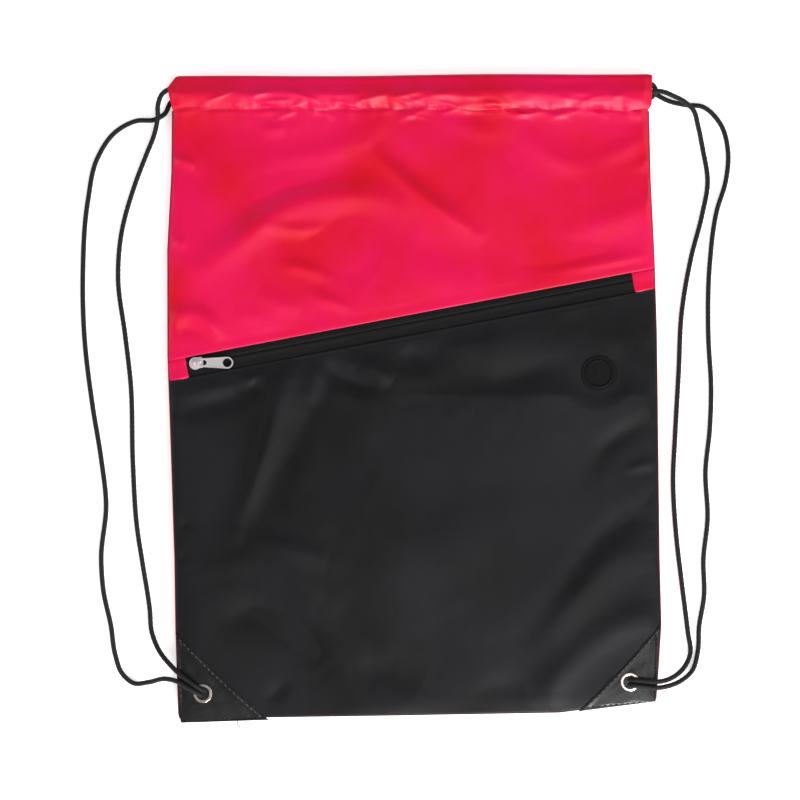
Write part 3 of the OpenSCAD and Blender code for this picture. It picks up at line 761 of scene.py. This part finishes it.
TAPE_SECTION = [(0.10, 10.9), (0.16, 11.5), (0.40, 12.0), (0.85, 12.3), (1.4, 12.4), (2.1, 12.36),
                (2.9, 12.2), (3.7, 11.98), (5.0, 11.9), (7.0, 11.92), (9.0, 11.88), (13.5, 11.85)]


def tape_piece(name, side):
    u = np.linspace(-166, 164, 240)
    lines = []
    for d, z in TAPE_SECTION:
        wander = 0.10 * np.sin(u / 17) * min(d, 1)
        x, y = along_zip(u, side * (d + wander))
        lift = 0.10 * np.sin(u / 9.0 + d) * min(d / 3, 1) + 0.08 * np.sin(u / 23.0)
        lines.append(np.stack([x, y, z + lift], axis=1))
    grid = np.array(lines if side > 0 else lines[::-1]) * MM
    return sheet_object(name, grid, 0.4 * MM)


tapes = {"upper": tape_piece("zip_tape_cloth_upper", 1), "lower": tape_piece("zip_tape_cloth_lower", -1)}
print("zip tapes", [len(piece.data.polygons) for piece in tapes.values()], "faces")
for which, piece in tapes.items():
    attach(piece, "bag")
    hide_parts(f"zip_tape_{which}")

# %% [markdown]
# ## Zip end tabs
# A scrap of the red cloth is folded over each end of the zip. It covers the raw ends of the tape and
# stops the slider, and it is caught in the side seam with everything else.

# %% Zip end tabs
def end_tab(name, u_inner, u_seam):
    """A folded tab from the seam to its inner, rounded fold."""
    sign = 1 if u_seam > u_inner else -1
    section = [(9.0, 12.15), (1.2, 12.15), (0.25, 12.2), (0.0, 12.45), (0.3, 12.75), (1.1, 12.86)]
    reach = abs(u_seam - u_inner)
    section += [(r, 12.86 + 0.12 * math.sin(r / 2.2)) for r in np.linspace(2.0, reach, 14)]
    d = np.linspace(POCKET_EDGE - 3.5, RED_EDGE + 3.5, 40)
    lines = []
    for r, z in section:
        x, y = along_zip(u_inner + sign * r + 0.12 * np.sin(d / 2.0), d)
        x = np.clip(x, left_x(y) + 0.1, right_x(y) - 0.1)
        drop = 0.45 * ease((d - RED_EDGE + 1.2) / 1.6) + 0.5 * ease((POCKET_EDGE + 0.6 - d) / 1.4)
        z = np.minimum(edge_fall(x, y, z, 9), 13) - drop + 0.1 * np.sin(d / 1.7) * min(r / 4, 1)
        lines.append(np.stack([x, y, z], axis=1))
    grid = np.array(lines) * MM
    return sheet_object(name, grid if sign < 0 else grid[::-1], 0.3 * MM)


TAB_U_LEFT, TAB_U_RIGHT = (math.hypot(1, math.tan(ZIP_ANGLE)) * x for x in (-160.6, 154.4))
tabs = {"left": end_tab("zip_end_cloth_left", TAB_U_LEFT, -177),
        "right": end_tab("zip_end_cloth_right", TAB_U_RIGHT, 174.5)}
for side, piece in tabs.items():
    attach(piece, "bag")
    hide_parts(f"zip_end_tab_{side}")

# %% [markdown]
# ## Corner patches
# A triangle of coated cloth is folded round each bottom corner, so there is one on the front and one on
# the back. Its cut edge is turned under, and the eyelet is set through both layers. The coating is
# stiffer than cloth, so a patch bends in one broad curve instead of wrinkling.

# %% Corner patches
PATCHES = {"left": ((-164, -229), (-103, -227), (-168.3, -165)),
           "right": ((170.4, -214), (174, -160), (116.5, -221))}
PATCH_CURL = {"left": 0.0, "right": 0.5}
# Rough sizes from the corner to the long edge and along it, and the share of them outside the stitches.
PATCH_DEPTH, PATCH_LONG = 60, 90
SEWN_SHARE = 0.045


def patch_points(side, a, b):
    """Points of the triangle: a from the corner towards the long edge, b along that edge."""
    corner, one, two = (np.array(p, float) for p in PATCHES[side])
    a, b = np.broadcast_arrays(np.asarray(a, float), np.asarray(b, float))
    long_edge = one + b[..., None] * (two - one)
    away = (one + two) / 2 - corner
    bow = (1.2 * np.sin(b * math.pi) * a)[..., None] * away / np.linalg.norm(away)
    p = corner + a[..., None] * (long_edge - corner) - bow
    return p[..., 0], p[..., 1]


def patch_height(side, face, a, b, swell):
    """Point on the patch's outer face, `swell` over the cloth below it."""
    x, y = patch_points(side, a, b)
    if face == "back":
        return x, y, back_height(x, y) - 0.45 - swell
    return x, y, pocket_surface(x, y) + swell + PATCH_CURL[side] * np.sin(math.pi * a) * np.sin(math.pi * b)


def patch_piece(side, face):
    rows, columns = 68, 84
    b = np.linspace(0, 1, columns)
    steps = [(1 - (1 - r / (rows - 1)) ** 1.5, None) for r in range(rows)]
    under = ((0, 0.3), (0.7, 0.0), (1.8, -0.02), (3.0, 0.0))
    steps += [(1 - back_in / PATCH_DEPTH, swell) for back_in, swell in under]
    grid = []
    for a, turned_under in steps:
        edge = (1 - a) * PATCH_DEPTH
        swell = 0.62 + 0.2 * math.exp(-((edge - 3) / 2.5) ** 2) - 0.35 * math.exp(-(edge / 0.8) ** 2)
        swell = swell + (0.06 * np.sin(b * 29 + a * 11) + 0.05 * np.sin(b * 13 - a * 23)) * a
        sewn = SEWN_SHARE * PATCH_LONG * a
        for off in (b * PATCH_LONG * a, (1 - b) * PATCH_LONG * a):
            swell = swell - 0.22 * np.exp(-((off - sewn) / 0.8) ** 2) * ease(a / 0.3)
        if turned_under is not None:
            swell = turned_under + 0 * b
        grid.append(np.stack(patch_height(side, face, max(a, 0.004), b, swell), axis=1))
    grid = np.array(grid) * MM
    if face == "front":
        grid = grid[:, ::-1]
    return sheet_object(f"corner_patch_{face}_{side}", grid, 0.5 * MM)


patches = {}
for face in ("front", "back"):
    for side in ("left", "right"):
        piece = patch_piece(side, face)
        patches[face, side] = piece
        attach(piece, "bag")
        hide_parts(f"patch_{face}_{side}")

# %% [markdown]
# ## Stitches
# All the sewing is lockstitch: one short length of thread after another, each pulled down at its ends.
# Geometry Nodes puts one stitch at every pitch along a line, turns it along the line and varies it a
# little. Each seam is only a list of points, a pitch and a thread.

# %% Stitch tree
def link(tree, a, b):
    tree.links.new(a, b)


def stitch_tree():
    tree = bpy.data.node_groups.new("stitches along a line", "GeometryNodeTree")
    face = tree.interface
    face.new_socket("Line", in_out="INPUT", socket_type="NodeSocketGeometry")
    for name, value in (("Pitch", 0.003), ("Length", 0.0022), ("Thread", 0.0006), ("Slant", 0.06)):
        face.new_socket(name, in_out="INPUT", socket_type="NodeSocketFloat").default_value = value
    face.new_socket("Seed", in_out="INPUT", socket_type="NodeSocketInt")
    face.new_socket("Material", in_out="INPUT", socket_type="NodeSocketMaterial")
    face.new_socket("Stitches", in_out="OUTPUT", socket_type="NodeSocketGeometry")
    new = tree.nodes.new
    given, out = new("NodeGroupInput"), new("NodeGroupOutput")
    curve = new("GeometryNodeMeshToCurve")
    resample = new("GeometryNodeResampleCurve")
    resample.mode = "LENGTH"
    tangent = new("GeometryNodeInputTangent")
    align = new("FunctionNodeAlignRotationToVector")
    align.axis = "X"
    slant = new("FunctionNodeRandomValue")
    low = new("ShaderNodeMath")
    low.operation = "MULTIPLY"
    low.inputs[1].default_value = -1
    spin = new("FunctionNodeAxisAngleToRotation")
    turn = new("FunctionNodeRotateRotation")
    turn.rotation_space = "LOCAL"
    size = new("FunctionNodeRandomValue")
    size.inputs[2].default_value, size.inputs[3].default_value = 0.88, 1.1
    ball = new("GeometryNodeMeshUVSphere")
    ball.inputs["Segments"].default_value = 8
    ball.inputs["Rings"].default_value = 6
    ball.inputs["Radius"].default_value = 0.5
    shape = new("ShaderNodeCombineXYZ")
    stretch = new("GeometryNodeTransform")
    place = new("GeometryNodeInstanceOnPoints")
    realize = new("GeometryNodeRealizeInstances")
    smooth = new("GeometryNodeSetShadeSmooth")
    coat = new("GeometryNodeSetMaterial")
    for source, target in (
            (given.outputs["Line"], curve.inputs[0]),
            (curve.outputs[0], resample.inputs["Curve"]),
            (given.outputs["Pitch"], resample.inputs["Length"]),
            (tangent.outputs[0], align.inputs["Vector"]),
            (given.outputs["Slant"], low.inputs[0]),
            (low.outputs[0], slant.inputs[2]),
            (given.outputs["Slant"], slant.inputs[3]),
            (given.outputs["Seed"], slant.inputs["Seed"]),
            (given.outputs["Seed"], size.inputs["Seed"]),
            (slant.outputs[1], spin.inputs["Angle"]),
            (align.outputs[0], turn.inputs[0]),
            (spin.outputs[0], turn.inputs[1]),
            (given.outputs["Length"], shape.inputs[0]),
            (given.outputs["Thread"], shape.inputs[1]),
            (given.outputs["Thread"], shape.inputs[2]),
            (ball.outputs["Mesh"], stretch.inputs["Geometry"]),
            (shape.outputs[0], stretch.inputs["Scale"]),
            (resample.outputs[0], place.inputs["Points"]),
            (stretch.outputs[0], place.inputs["Instance"]),
            (turn.outputs[0], place.inputs["Rotation"]),
            (size.outputs[1], place.inputs["Scale"]),
            (place.outputs[0], realize.inputs[0]),
            (realize.outputs[0], smooth.inputs[0]),
            (smooth.outputs[0], coat.inputs["Geometry"]),
            (given.outputs["Material"], coat.inputs["Material"]),
            (coat.outputs[0], out.inputs[0])):
        link(tree, source, target)
    return tree


STITCHES = stitch_tree()


def stitch_row(name, lines, pitch, length, thread, material, seed=1, slant=0.06):
    """One piece made of the stitches along each of the given lines of points, in millimetres."""
    points, edges = [], []
    for line in lines:
        start = len(points)
        points += [tuple(p) for p in np.array(line) * MM]
        edges += [(k, k + 1) for k in range(start, len(points) - 1)]
    mesh = bpy.data.meshes.new(name)
    mesh.from_pydata(points, edges, [])
    obj = bpy.data.objects.new(name, mesh)
    bpy.context.scene.collection.objects.link(obj)
    values = {"Pitch": pitch * MM, "Length": length * MM, "Thread": thread * MM, "Slant": slant,
              "Seed": seed, "Material": material}
    modifier = obj.modifiers.new("stitches", "NODES")
    modifier.node_group = STITCHES
    for item in STITCHES.interface.items_tree:
        if item.in_out == "INPUT" and item.name in values:
            modifier[item.identifier] = values[item.name]
    apply_modifiers(obj)
    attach(obj, "bag")
    print(name, len(obj.data.polygons), "faces")


# %% [markdown]
# ## Effects shared by the finishes
# Most surfaces here are the same few effects at other sizes: a weave, a pebbled grain, and slow patches
# of colour where cloth has been handled. Each is a node group that gives a value, and a finish decides
# what it changes.

# %% Shader groups
def group(name, sockets_in, sockets_out):
    tree = bpy.data.node_groups.new(name, "ShaderNodeTree")
    for label, kind, value in sockets_in:
        socket = tree.interface.new_socket(label, in_out="INPUT", socket_type=kind)
        if value is not None:
            socket.default_value = value
    for label, kind in sockets_out:
        tree.interface.new_socket(label, in_out="OUTPUT", socket_type=kind)
    return tree, tree.nodes.new("NodeGroupInput"), tree.nodes.new("NodeGroupOutput")


FLOAT, VECTOR = "NodeSocketFloat", "NodeSocketVector"


def maths(tree, operation, a, b=None):
    node = tree.nodes.new("ShaderNodeMath")
    node.operation = operation
    for socket, value in zip(node.inputs, (a, b)):
        if value is None:
            continue
        if isinstance(value, (int, float)):
            socket.default_value = value
        else:
            tree.links.new(value, socket)
    return node.outputs[0]


def weave_group():
    """Plain weave: two sets of rounded threads that swap places like a chessboard."""
    tree, given, out = group("plain weave", [("Vector", VECTOR, None), ("Threads per metre", FLOAT, 2200.0)],
                             [("Height", FLOAT)])
    scale = tree.nodes.new("ShaderNodeVectorMath")
    scale.operation = "SCALE"
    link(tree, given.outputs["Vector"], scale.inputs[0])
    link(tree, given.outputs["Threads per metre"], scale.inputs["Scale"])
    split = tree.nodes.new("ShaderNodeSeparateXYZ")
    link(tree, scale.outputs[0], split.inputs[0])
    across = maths(tree, "MULTIPLY", split.outputs[0], math.pi)
    along = maths(tree, "MULTIPLY", split.outputs[1], math.pi)
    warp = maths(tree, "ABSOLUTE", maths(tree, "SINE", across))
    weft = maths(tree, "ABSOLUTE", maths(tree, "SINE", along))
    swap = maths(tree, "MULTIPLY", maths(tree, "COSINE", across), maths(tree, "COSINE", along))
    share = maths(tree, "MULTIPLY_ADD", swap, 0.5)
    share.node.inputs[2].default_value = 0.5
    mix = tree.nodes.new("ShaderNodeMix")
    link(tree, share, mix.inputs[0])
    link(tree, warp, mix.inputs[2])
    link(tree, weft, mix.inputs[3])
    link(tree, mix.outputs[0], out.inputs[0])
    return tree


def noise(tree, vector, scale, detail):
    node = tree.nodes.new("ShaderNodeTexNoise")
    node.inputs["Scale"].default_value = scale
    node.inputs["Detail"].default_value = detail
    tree.links.new(vector, node.inputs["Vector"])
    return node.outputs[0]


def handled_group():
    """Slow patches and fine specks, for colour that isn't quite even."""
    tree, given, out = group("handled cloth", [("Vector", VECTOR, None)],
                             [("Patches", FLOAT), ("Specks", FLOAT)])
    link(tree, noise(tree, given.outputs[0], 14.0, 4.0), out.inputs[0])
    link(tree, noise(tree, given.outputs[0], 900.0, 2.0), out.inputs[1])
    return tree


def crumple_group():
    """Short soft creases, as in thin cloth that has been folded and pressed."""
    tree, given, out = group("crumple", [("Vector", VECTOR, None), ("Scale", FLOAT, 60.0)],
                             [("Height", FLOAT)])
    slow = tree.nodes.new("ShaderNodeTexNoise")
    slow.inputs["Scale"].default_value = 9.0
    link(tree, given.outputs["Vector"], slow.inputs["Vector"])
    bend = tree.nodes.new("ShaderNodeVectorMath")
    bend.operation = "MULTIPLY_ADD"
    bend.inputs[1].default_value = (0.03, 0.03, 0.0)
    link(tree, slow.outputs[1], bend.inputs[0])
    link(tree, given.outputs["Vector"], bend.inputs[2])
    cell = tree.nodes.new("ShaderNodeTexNoise")
    cell.noise_type = "RIDGED_MULTIFRACTAL"
    cell.inputs["Detail"].default_value = 2.0
    link(tree, given.outputs["Scale"], cell.inputs["Scale"])
    link(tree, bend.outputs[0], cell.inputs["Vector"])
    link(tree, cell.outputs[0], out.inputs[0])
    return tree


def streak_group():
    """Long fine streaks both ways, from yarns that are a little thick, thin or tight."""
    tree, given, out = group("yarn streaks", [("Vector", VECTOR, None)], [("Streaks", FLOAT)])
    both = []
    for stretch in ((4.0, 1100.0, 1.0), (1100.0, 4.0, 1.0)):
        scale = tree.nodes.new("ShaderNodeVectorMath")
        scale.operation = "MULTIPLY"
        scale.inputs[1].default_value = stretch
        link(tree, given.outputs[0], scale.inputs[0])
        both.append(noise(tree, scale.outputs[0], 1.0, 1.0))
    link(tree, maths(tree, "MULTIPLY", maths(tree, "ADD", *both), 0.5), out.inputs[0])
    return tree


def rubbed_group():
    """Cloudy marks of handling on bright metal."""
    tree, given, out = group("rubbed metal", [("Vector", VECTOR, None), ("Scale", FLOAT, 160.0)],
                             [("Marks", FLOAT)])
    marks = noise(tree, given.outputs["Vector"], 160.0, 2.0)
    link(tree, given.outputs["Scale"], marks.node.inputs["Scale"])
    link(tree, marks, out.inputs[0])
    return tree


WEAVE, HANDLED, CRUMPLE = weave_group(), handled_group(), crumple_group()
STREAKS, RUBBED = streak_group(), rubbed_group()
print("shader groups", [tree.name for tree in (WEAVE, HANDLED, CRUMPLE, STREAKS, RUBBED)])


# %% [markdown]
# ## A finish
# Every material is one Principled shader with a colour and a roughness, to which bumps and variation are
# added. They read the place on the object, in metres, so a pattern has one size on every piece. Only the
# cord reads its own run instead.

# %% Material helpers
def srgb(r, g, b):
    """Linear colour of an ordinary 0 to 255 colour."""
    return tuple((v / 255 / 12.92) if v / 255 <= 0.04045 else ((v / 255 + 0.055) / 1.055) ** 2.4
                 for v in (r, g, b)) + (1,)


class Finish:
    """A material with a Principled shader and short ways to add to it."""

    def __init__(self, name, colour, roughness, **sockets):
        self.material = bpy.data.materials.new(name)
        self.material.use_nodes = True
        self.tree = self.material.node_tree
        self.shader = self.tree.nodes["Principled BSDF"]
        self.set("Base Color", colour)
        self.set("Roughness", roughness)
        for key, value in sockets.items():
            self.set(key.replace("_", " ").title().replace("Ior", "IOR"), value)
        self.place = self.tree.nodes.new("ShaderNodeTexCoord").outputs["Object"]
        self.normal = None

    def set(self, name, value):
        self.shader.inputs[name].default_value = value

    def add(self, tree, **values):
        node = self.tree.nodes.new("ShaderNodeGroup")
        node.node_tree = tree
        self.tree.links.new(self.place, node.inputs[0])
        for key, value in values.items():
            node.inputs[key.replace("_", " ")].default_value = value
        return node

    def bump(self, height, strength, distance):
        node = self.tree.nodes.new("ShaderNodeBump")
        node.inputs["Strength"].default_value = strength
        node.inputs["Distance"].default_value = distance
        self.tree.links.new(height, node.inputs["Height"])
        if self.normal:
            self.tree.links.new(self.normal, node.inputs["Normal"])
        self.normal = node.outputs[0]
        self.tree.links.new(self.normal, self.shader.inputs["Normal"])

    def vary(self, value, socket, low, high, start=0.3, end=0.7):
        """Runs a socket from one value or colour to another as the given value goes from start to end."""
        span = self.tree.nodes.new("ShaderNodeMapRange")
        span.inputs[1].default_value, span.inputs[2].default_value = start, end
        self.tree.links.new(value, span.inputs[0])
        if isinstance(low, tuple):
            mix = self.tree.nodes.new("ShaderNodeMix")
            mix.data_type = "RGBA"
            mix.inputs[6].default_value, mix.inputs[7].default_value = low, high
            self.tree.links.new(span.outputs[0], mix.inputs[0])
            self.tree.links.new(mix.outputs[2], self.shader.inputs[socket])
        else:
            span.inputs[3].default_value, span.inputs[4].default_value = low, high
            self.tree.links.new(span.outputs[0], self.shader.inputs[socket])


# %% [markdown]
# ## Finishes
# Thin polyester is satiny: it has a soft, broad shine that follows every fold, and its weave is too fine
# to see from far off. The red and the black cloth are the same weave in other colours. The zip tape is
# matt and coarser. The rolls along the seams get a darker, duller red as painted shade for the seam's shade.

# %% Cloth finishes
def cloth(name, dark, light, roughness, crumple_depth, specular):
    finish = Finish(name, light, roughness, sheen_weight=0.02, sheen_roughness=0.4,
                    specular_ior_level=specular)
    handled = finish.add(HANDLED)
    finish.vary(handled.outputs["Patches"], "Base Color", dark, light, 0.35, 0.6)
    streaks = finish.add(STREAKS).outputs[0]
    finish.vary(streaks, "Roughness", roughness - 0.05, roughness + 0.06)
    finish.bump(streaks, 0.25, 0.0002)
    crumple = finish.add(CRUMPLE, Scale=42.0)
    finish.bump(crumple.outputs[0], crumple_depth, 0.0012)
    weave = finish.add(WEAVE)
    finish.bump(weave.outputs[0], 0.35, 0.00008)
    return finish


red_cloth = cloth("red_polyester", srgb(216, 2, 34), srgb(228, 4, 78), 0.34, 0.22, 0.28)
# The seam rolls' darker red is painted shade, standing in for the shade that falls on them along the seam.
shaded_seam_cloth = Finish("seam_red_painted_shade", srgb(112, 6, 24), 0.7)
shaded_seam_cloth.vary(shaded_seam_cloth.add(HANDLED).outputs["Specks"], "Base Color", srgb(86, 4, 18), srgb(134, 8, 32))
black_cloth = cloth("black_polyester", srgb(12, 11, 12), srgb(21, 20, 24), 0.36, 0.26, 0.24)
tape_cloth = Finish("zip_tape_twill", srgb(14, 11, 12), 0.8, sheen_weight=0.04, specular_ior_level=0.2)
tape_weave = tape_cloth.add(WEAVE, Threads_per_metre=1400.0)
tape_cloth.bump(tape_weave.outputs[0], 0.6, 0.00015)
tape_cloth.vary(tape_cloth.add(HANDLED).outputs["Specks"], "Base Color", srgb(9, 7, 8), srgb(19, 16, 17))

# %% [markdown]
# ## The harder finishes
# Coated cloth is cloth under a plastic skin with a pebbled emboss. The port is moulded rubber, the slider
# and its tab are bright plated metal, and the eyelets are the same in a warmer, glossier plate. The cord's
# yarns are coloured along its own length, through the tube's own map.

# %% Coated, rubber, metal, thread and cord finishes
patch_coat = Finish("coated_patch", srgb(12, 11, 11), 0.26)
pebble = patch_coat.tree.nodes.new("ShaderNodeTexVoronoi")
pebble.inputs["Scale"].default_value = 1100.0
patch_coat.tree.links.new(patch_coat.place, pebble.inputs["Vector"])
patch_coat.bump(pebble.outputs[0], 0.35, 0.0002)
patch_coat.vary(patch_coat.add(HANDLED).outputs["Patches"], "Roughness", 0.23, 0.31)

rubber = Finish("port_rubber", srgb(5, 4, 5), 0.62, specular_ior_level=0.2)
rubber_grain = noise(rubber.tree, rubber.place, 1800.0, 2.0)
rubber.bump(rubber_grain, 0.25, 0.0001)
rubber.vary(rubber.add(HANDLED).outputs["Specks"], "Roughness", 0.5, 0.68)

nickel = Finish("nickel_plate", srgb(244, 236, 238), 0.3, metallic=0.72)
nickel.vary(nickel.add(RUBBED).outputs[0], "Roughness", 0.28, 0.36, 0.35, 0.75)

eyelet_metal = Finish("eyelet_nickel", srgb(206, 196, 190), 0.24, metallic=0.9)
eyelet_metal.vary(eyelet_metal.add(RUBBED, Scale=240.0).outputs[0], "Roughness", 0.2, 0.3, 0.35, 0.75)

coil_plastic = Finish("coil_nylon", srgb(22, 20, 21), 0.4)
coil_plastic.vary(coil_plastic.add(HANDLED).outputs["Specks"], "Roughness", 0.35, 0.5)


def thread(name, dark, light):
    finish = Finish(name, light, 0.5, sheen_weight=0.05)
    finish.vary(finish.add(HANDLED).outputs["Specks"], "Base Color", dark, light)
    twist = finish.tree.nodes.new("ShaderNodeTexWave")
    twist.bands_direction = "DIAGONAL"
    twist.inputs["Scale"].default_value = 900.0
    finish.tree.links.new(finish.place, twist.inputs["Vector"])
    finish.bump(twist.outputs[0 if twist.outputs[0].type == "VALUE" else 1], 0.4, 0.0001)
    return finish


black_thread = thread("black_thread", srgb(8, 7, 8), srgb(22, 20, 21))
grey_thread = thread("patch_thread", srgb(78, 76, 77), srgb(118, 115, 116))
red_thread = thread("red_thread", srgb(150, 10, 44), srgb(196, 16, 62))

cord_yarn = Finish("cord_braid", srgb(16, 13, 14), 0.6, sheen_weight=0.05, specular_ior_level=0.3)
run_map = cord_yarn.tree.nodes.new("ShaderNodeUVMap")
run_map.uv_map = "run"
yarn = cord_yarn.tree.nodes.new("ShaderNodeTexNoise")
yarn.inputs["Scale"].default_value = 14.0
cord_yarn.tree.links.new(run_map.outputs[0], yarn.inputs["Vector"])
cord_yarn.vary(yarn.outputs[0], "Base Color", srgb(8, 6, 7), srgb(24, 20, 21))
filament = cord_yarn.tree.nodes.new("ShaderNodeTexWave")
filament.inputs["Scale"].default_value = 8.0
filament.inputs["Distortion"].default_value = 1.5
cord_yarn.tree.links.new(run_map.outputs[0], filament.inputs["Vector"])
cord_yarn.bump(filament.outputs[1], 0.3, 0.0002)

# %% [markdown]
# ## Putting the finishes on
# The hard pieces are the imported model's own meshes with a finish added. The soft pieces take theirs here
# too, so one table says what everything is made of.

# %% Apply finishes
def paint(obj, finish):
    obj.data.materials.clear()
    obj.data.materials.append(finish.material)


for piece in (front, back, lining, *tabs.values()):
    paint(piece, red_cloth)
for piece in rolls:
    paint(piece, shaded_seam_cloth)
paint(pocket, black_cloth)
for piece in tapes.values():
    paint(piece, tape_cloth)
for piece in patches.values():
    paint(piece, patch_coat)
for side in ("left", "right"):
    paint(cords[side][0], cord_yarn)
    paint(knots[side], cord_yarn)
for name, finish in (("zip_slider", nickel), ("pull_tab", nickel), ("earphone_port", rubber),
                     ("eyelet_left", eyelet_metal), ("eyelet_right", eyelet_metal),
                     ("eyelet_washer_left", eyelet_metal), ("eyelet_washer_right", eyelet_metal),
                     ("zip_coil_upper", coil_plastic), ("zip_coil_lower", coil_plastic)):
    paint(nodes[name], finish)

# %% [markdown]
# ## Sewing
# The pocket's top edge and the zip tapes are top-stitched, the tunnels are closed by one row on each
# face, and the patches are sewn along every side: the long edge with a light thread, the two outer edges
# with a dark one. The rows follow the height of the cloth they are sewn into.

# %% Rows of stitches
def on_surface(x, y, surface, lift=0.12):
    x, y = np.broadcast_arrays(np.asarray(x, float), np.asarray(y, float))
    return np.stack([x, y, surface(x, y) + lift], axis=1)


seam_x = np.linspace(-171.5, 169.5, 400)
pocket_row = on_surface(seam_x, zip_y(seam_x, POCKET_EDGE - 1.25), pocket_surface)
stitch_row("stitches_pocket_edge", [pocket_row], 2.6, 2.1, 0.5, black_thread.material, seed=3)

tunnel_x = np.linspace(-168.5, 163.5, 400)
tunnel_row = on_surface(tunnel_x, STITCH_Y - 0.1 + stitch_wander(tunnel_x), red_surface, 0.2)
back_row = on_surface(tunnel_x, np.full(400, STITCH_Y - 1.2), back_height, -0.62)
stitch_row("stitches_tunnel", [tunnel_row, back_row], 2.8, 2.2, 0.55, red_thread.material, seed=5)

# Distance from the zip's centre line and height on the domed tape.
TAPE_ROWS = [(-2.7, 12.28), (-1.25, 12.42), (1.25, 12.42), (2.7, 12.28)]
tape_rows = []
for d, z in TAPE_ROWS:
    u = np.linspace(-163 if d > 0 else -162, 156.5, 320)
    x, y = along_zip(u, d)
    tape_rows.append(np.stack([x, y, np.full(len(u), z)], axis=1))
stitch_row("stitches_zip_coil", tape_rows, 1.7, 1.2, 0.28, black_thread.material, seed=8)


def patch_rows(face, side, edges):
    """Stitch lines of one patch: along its long edge, and along the edges to its first and second point."""
    rows = []
    b = np.linspace(0.05, 0.95, 60)
    a = np.linspace(0.14, 0.93, 50)
    for which, aa, bb in (("long", np.full(60, 1 - SEWN_SHARE), b), ("one", a, np.full(50, SEWN_SHARE)),
                          ("two", a, np.full(50, 1 - SEWN_SHARE))):
        if which in edges:
            rows.append(np.stack(patch_height(side, face, aa, bb, 0.86), axis=1))
    return rows


for face in ("front", "back"):
    rows = patch_rows(face, "left", ["long"]) + patch_rows(face, "right", ["long"])
    stitch_row(f"stitches_patches_{face}", rows, 3.9, 2.3, 0.5, grey_thread.material, seed=13)
    rows = patch_rows(face, "left", ["one", "two"]) + patch_rows(face, "right", ["one", "two"])
    stitch_row(f"stitches_patch_edges_{face}", rows, 3.9, 2.5, 0.7, black_thread.material, seed=14)

# %% [markdown]
# ## Loose thread
# One sewing thread was not trimmed and hangs out of the bottom seam, a few millimetres long.

# %% Loose thread
THREAD_ROUTE = [(-124.5, -225.5, 11.4), (-124.9, -228.0, 10.9), (-124.8, -230.4, 8.2), (-123.2, -233.2, 5.2)]
THREAD_R = 0.28 * MM
thread_line, _ = smooth_route(THREAD_ROUTE, 0.4 * MM)
loose_thread = tube("loose_thread", thread_line, THREAD_R, 8)
paint(loose_thread, black_thread)
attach(loose_thread, "bag")
print("loose thread", len(thread_line), "rings")

# %% [markdown]
# ## Floor and light
# A plain pale floor and large soft lights. Most of the light comes from the lower right and low down, so
# the side of each fold that faces it is bright. A small softbox high up there is mirrored by nearly flat
# cloth, which shows the shallow folds, and by the coated patch on that side.

# %% Floor
floor = new_object("floor", [(-3, -3, 0), (3, -3, 0), (3, 3, 0), (-3, 3, 0)], [(0, 1, 2, 3)], smooth=False)
floor_finish = Finish("floor_paper", srgb(250, 250, 250), 0.9)
paper = noise(floor_finish.tree, floor_finish.place, 30.0, 2.0)
floor_finish.vary(paper, "Roughness", 0.85, 0.95)
floor_finish.set("Emission Color", srgb(255, 255, 255))
floor_finish.set("Emission Strength", 0.55)
paint(floor, floor_finish)

# %% [markdown]
# ## Softboxes
# Each is a square area lamp turned towards the bag, given by its place, size and power.

# %% Lights
def softbox(name, at, size, power, aim=(0, 0, 0)):
    light = bpy.data.lights.new(name, "AREA")
    light.shape = "SQUARE"
    light.size = size
    light.energy = power
    obj = bpy.data.objects.new(name, light)
    obj.location = at
    obj.rotation_euler = (Vector(aim) - Vector(at)).to_track_quat("-Z", "Y").to_euler()
    bpy.context.scene.collection.objects.link(obj)


softbox("key", (0.75, -1.9, 1.4), 1.1, 70)
softbox("sheen", (0.44, -0.66, 2.1), 0.75, 6)
softbox("back", (-0.9, 1.9, 1.5), 1.2, 3)
softbox("right", (1.9, 0.5, 1.4), 1.1, 10)
softbox("left", (-1.9, -0.2, 1.4), 1.1, 9)
world = bpy.data.worlds.new("studio")
bpy.context.scene.world = world
world.use_nodes = True
world.node_tree.nodes["Background"].inputs[0].default_value = (1, 1, 1, 1)
world.node_tree.nodes["Background"].inputs[1].default_value = 0.25
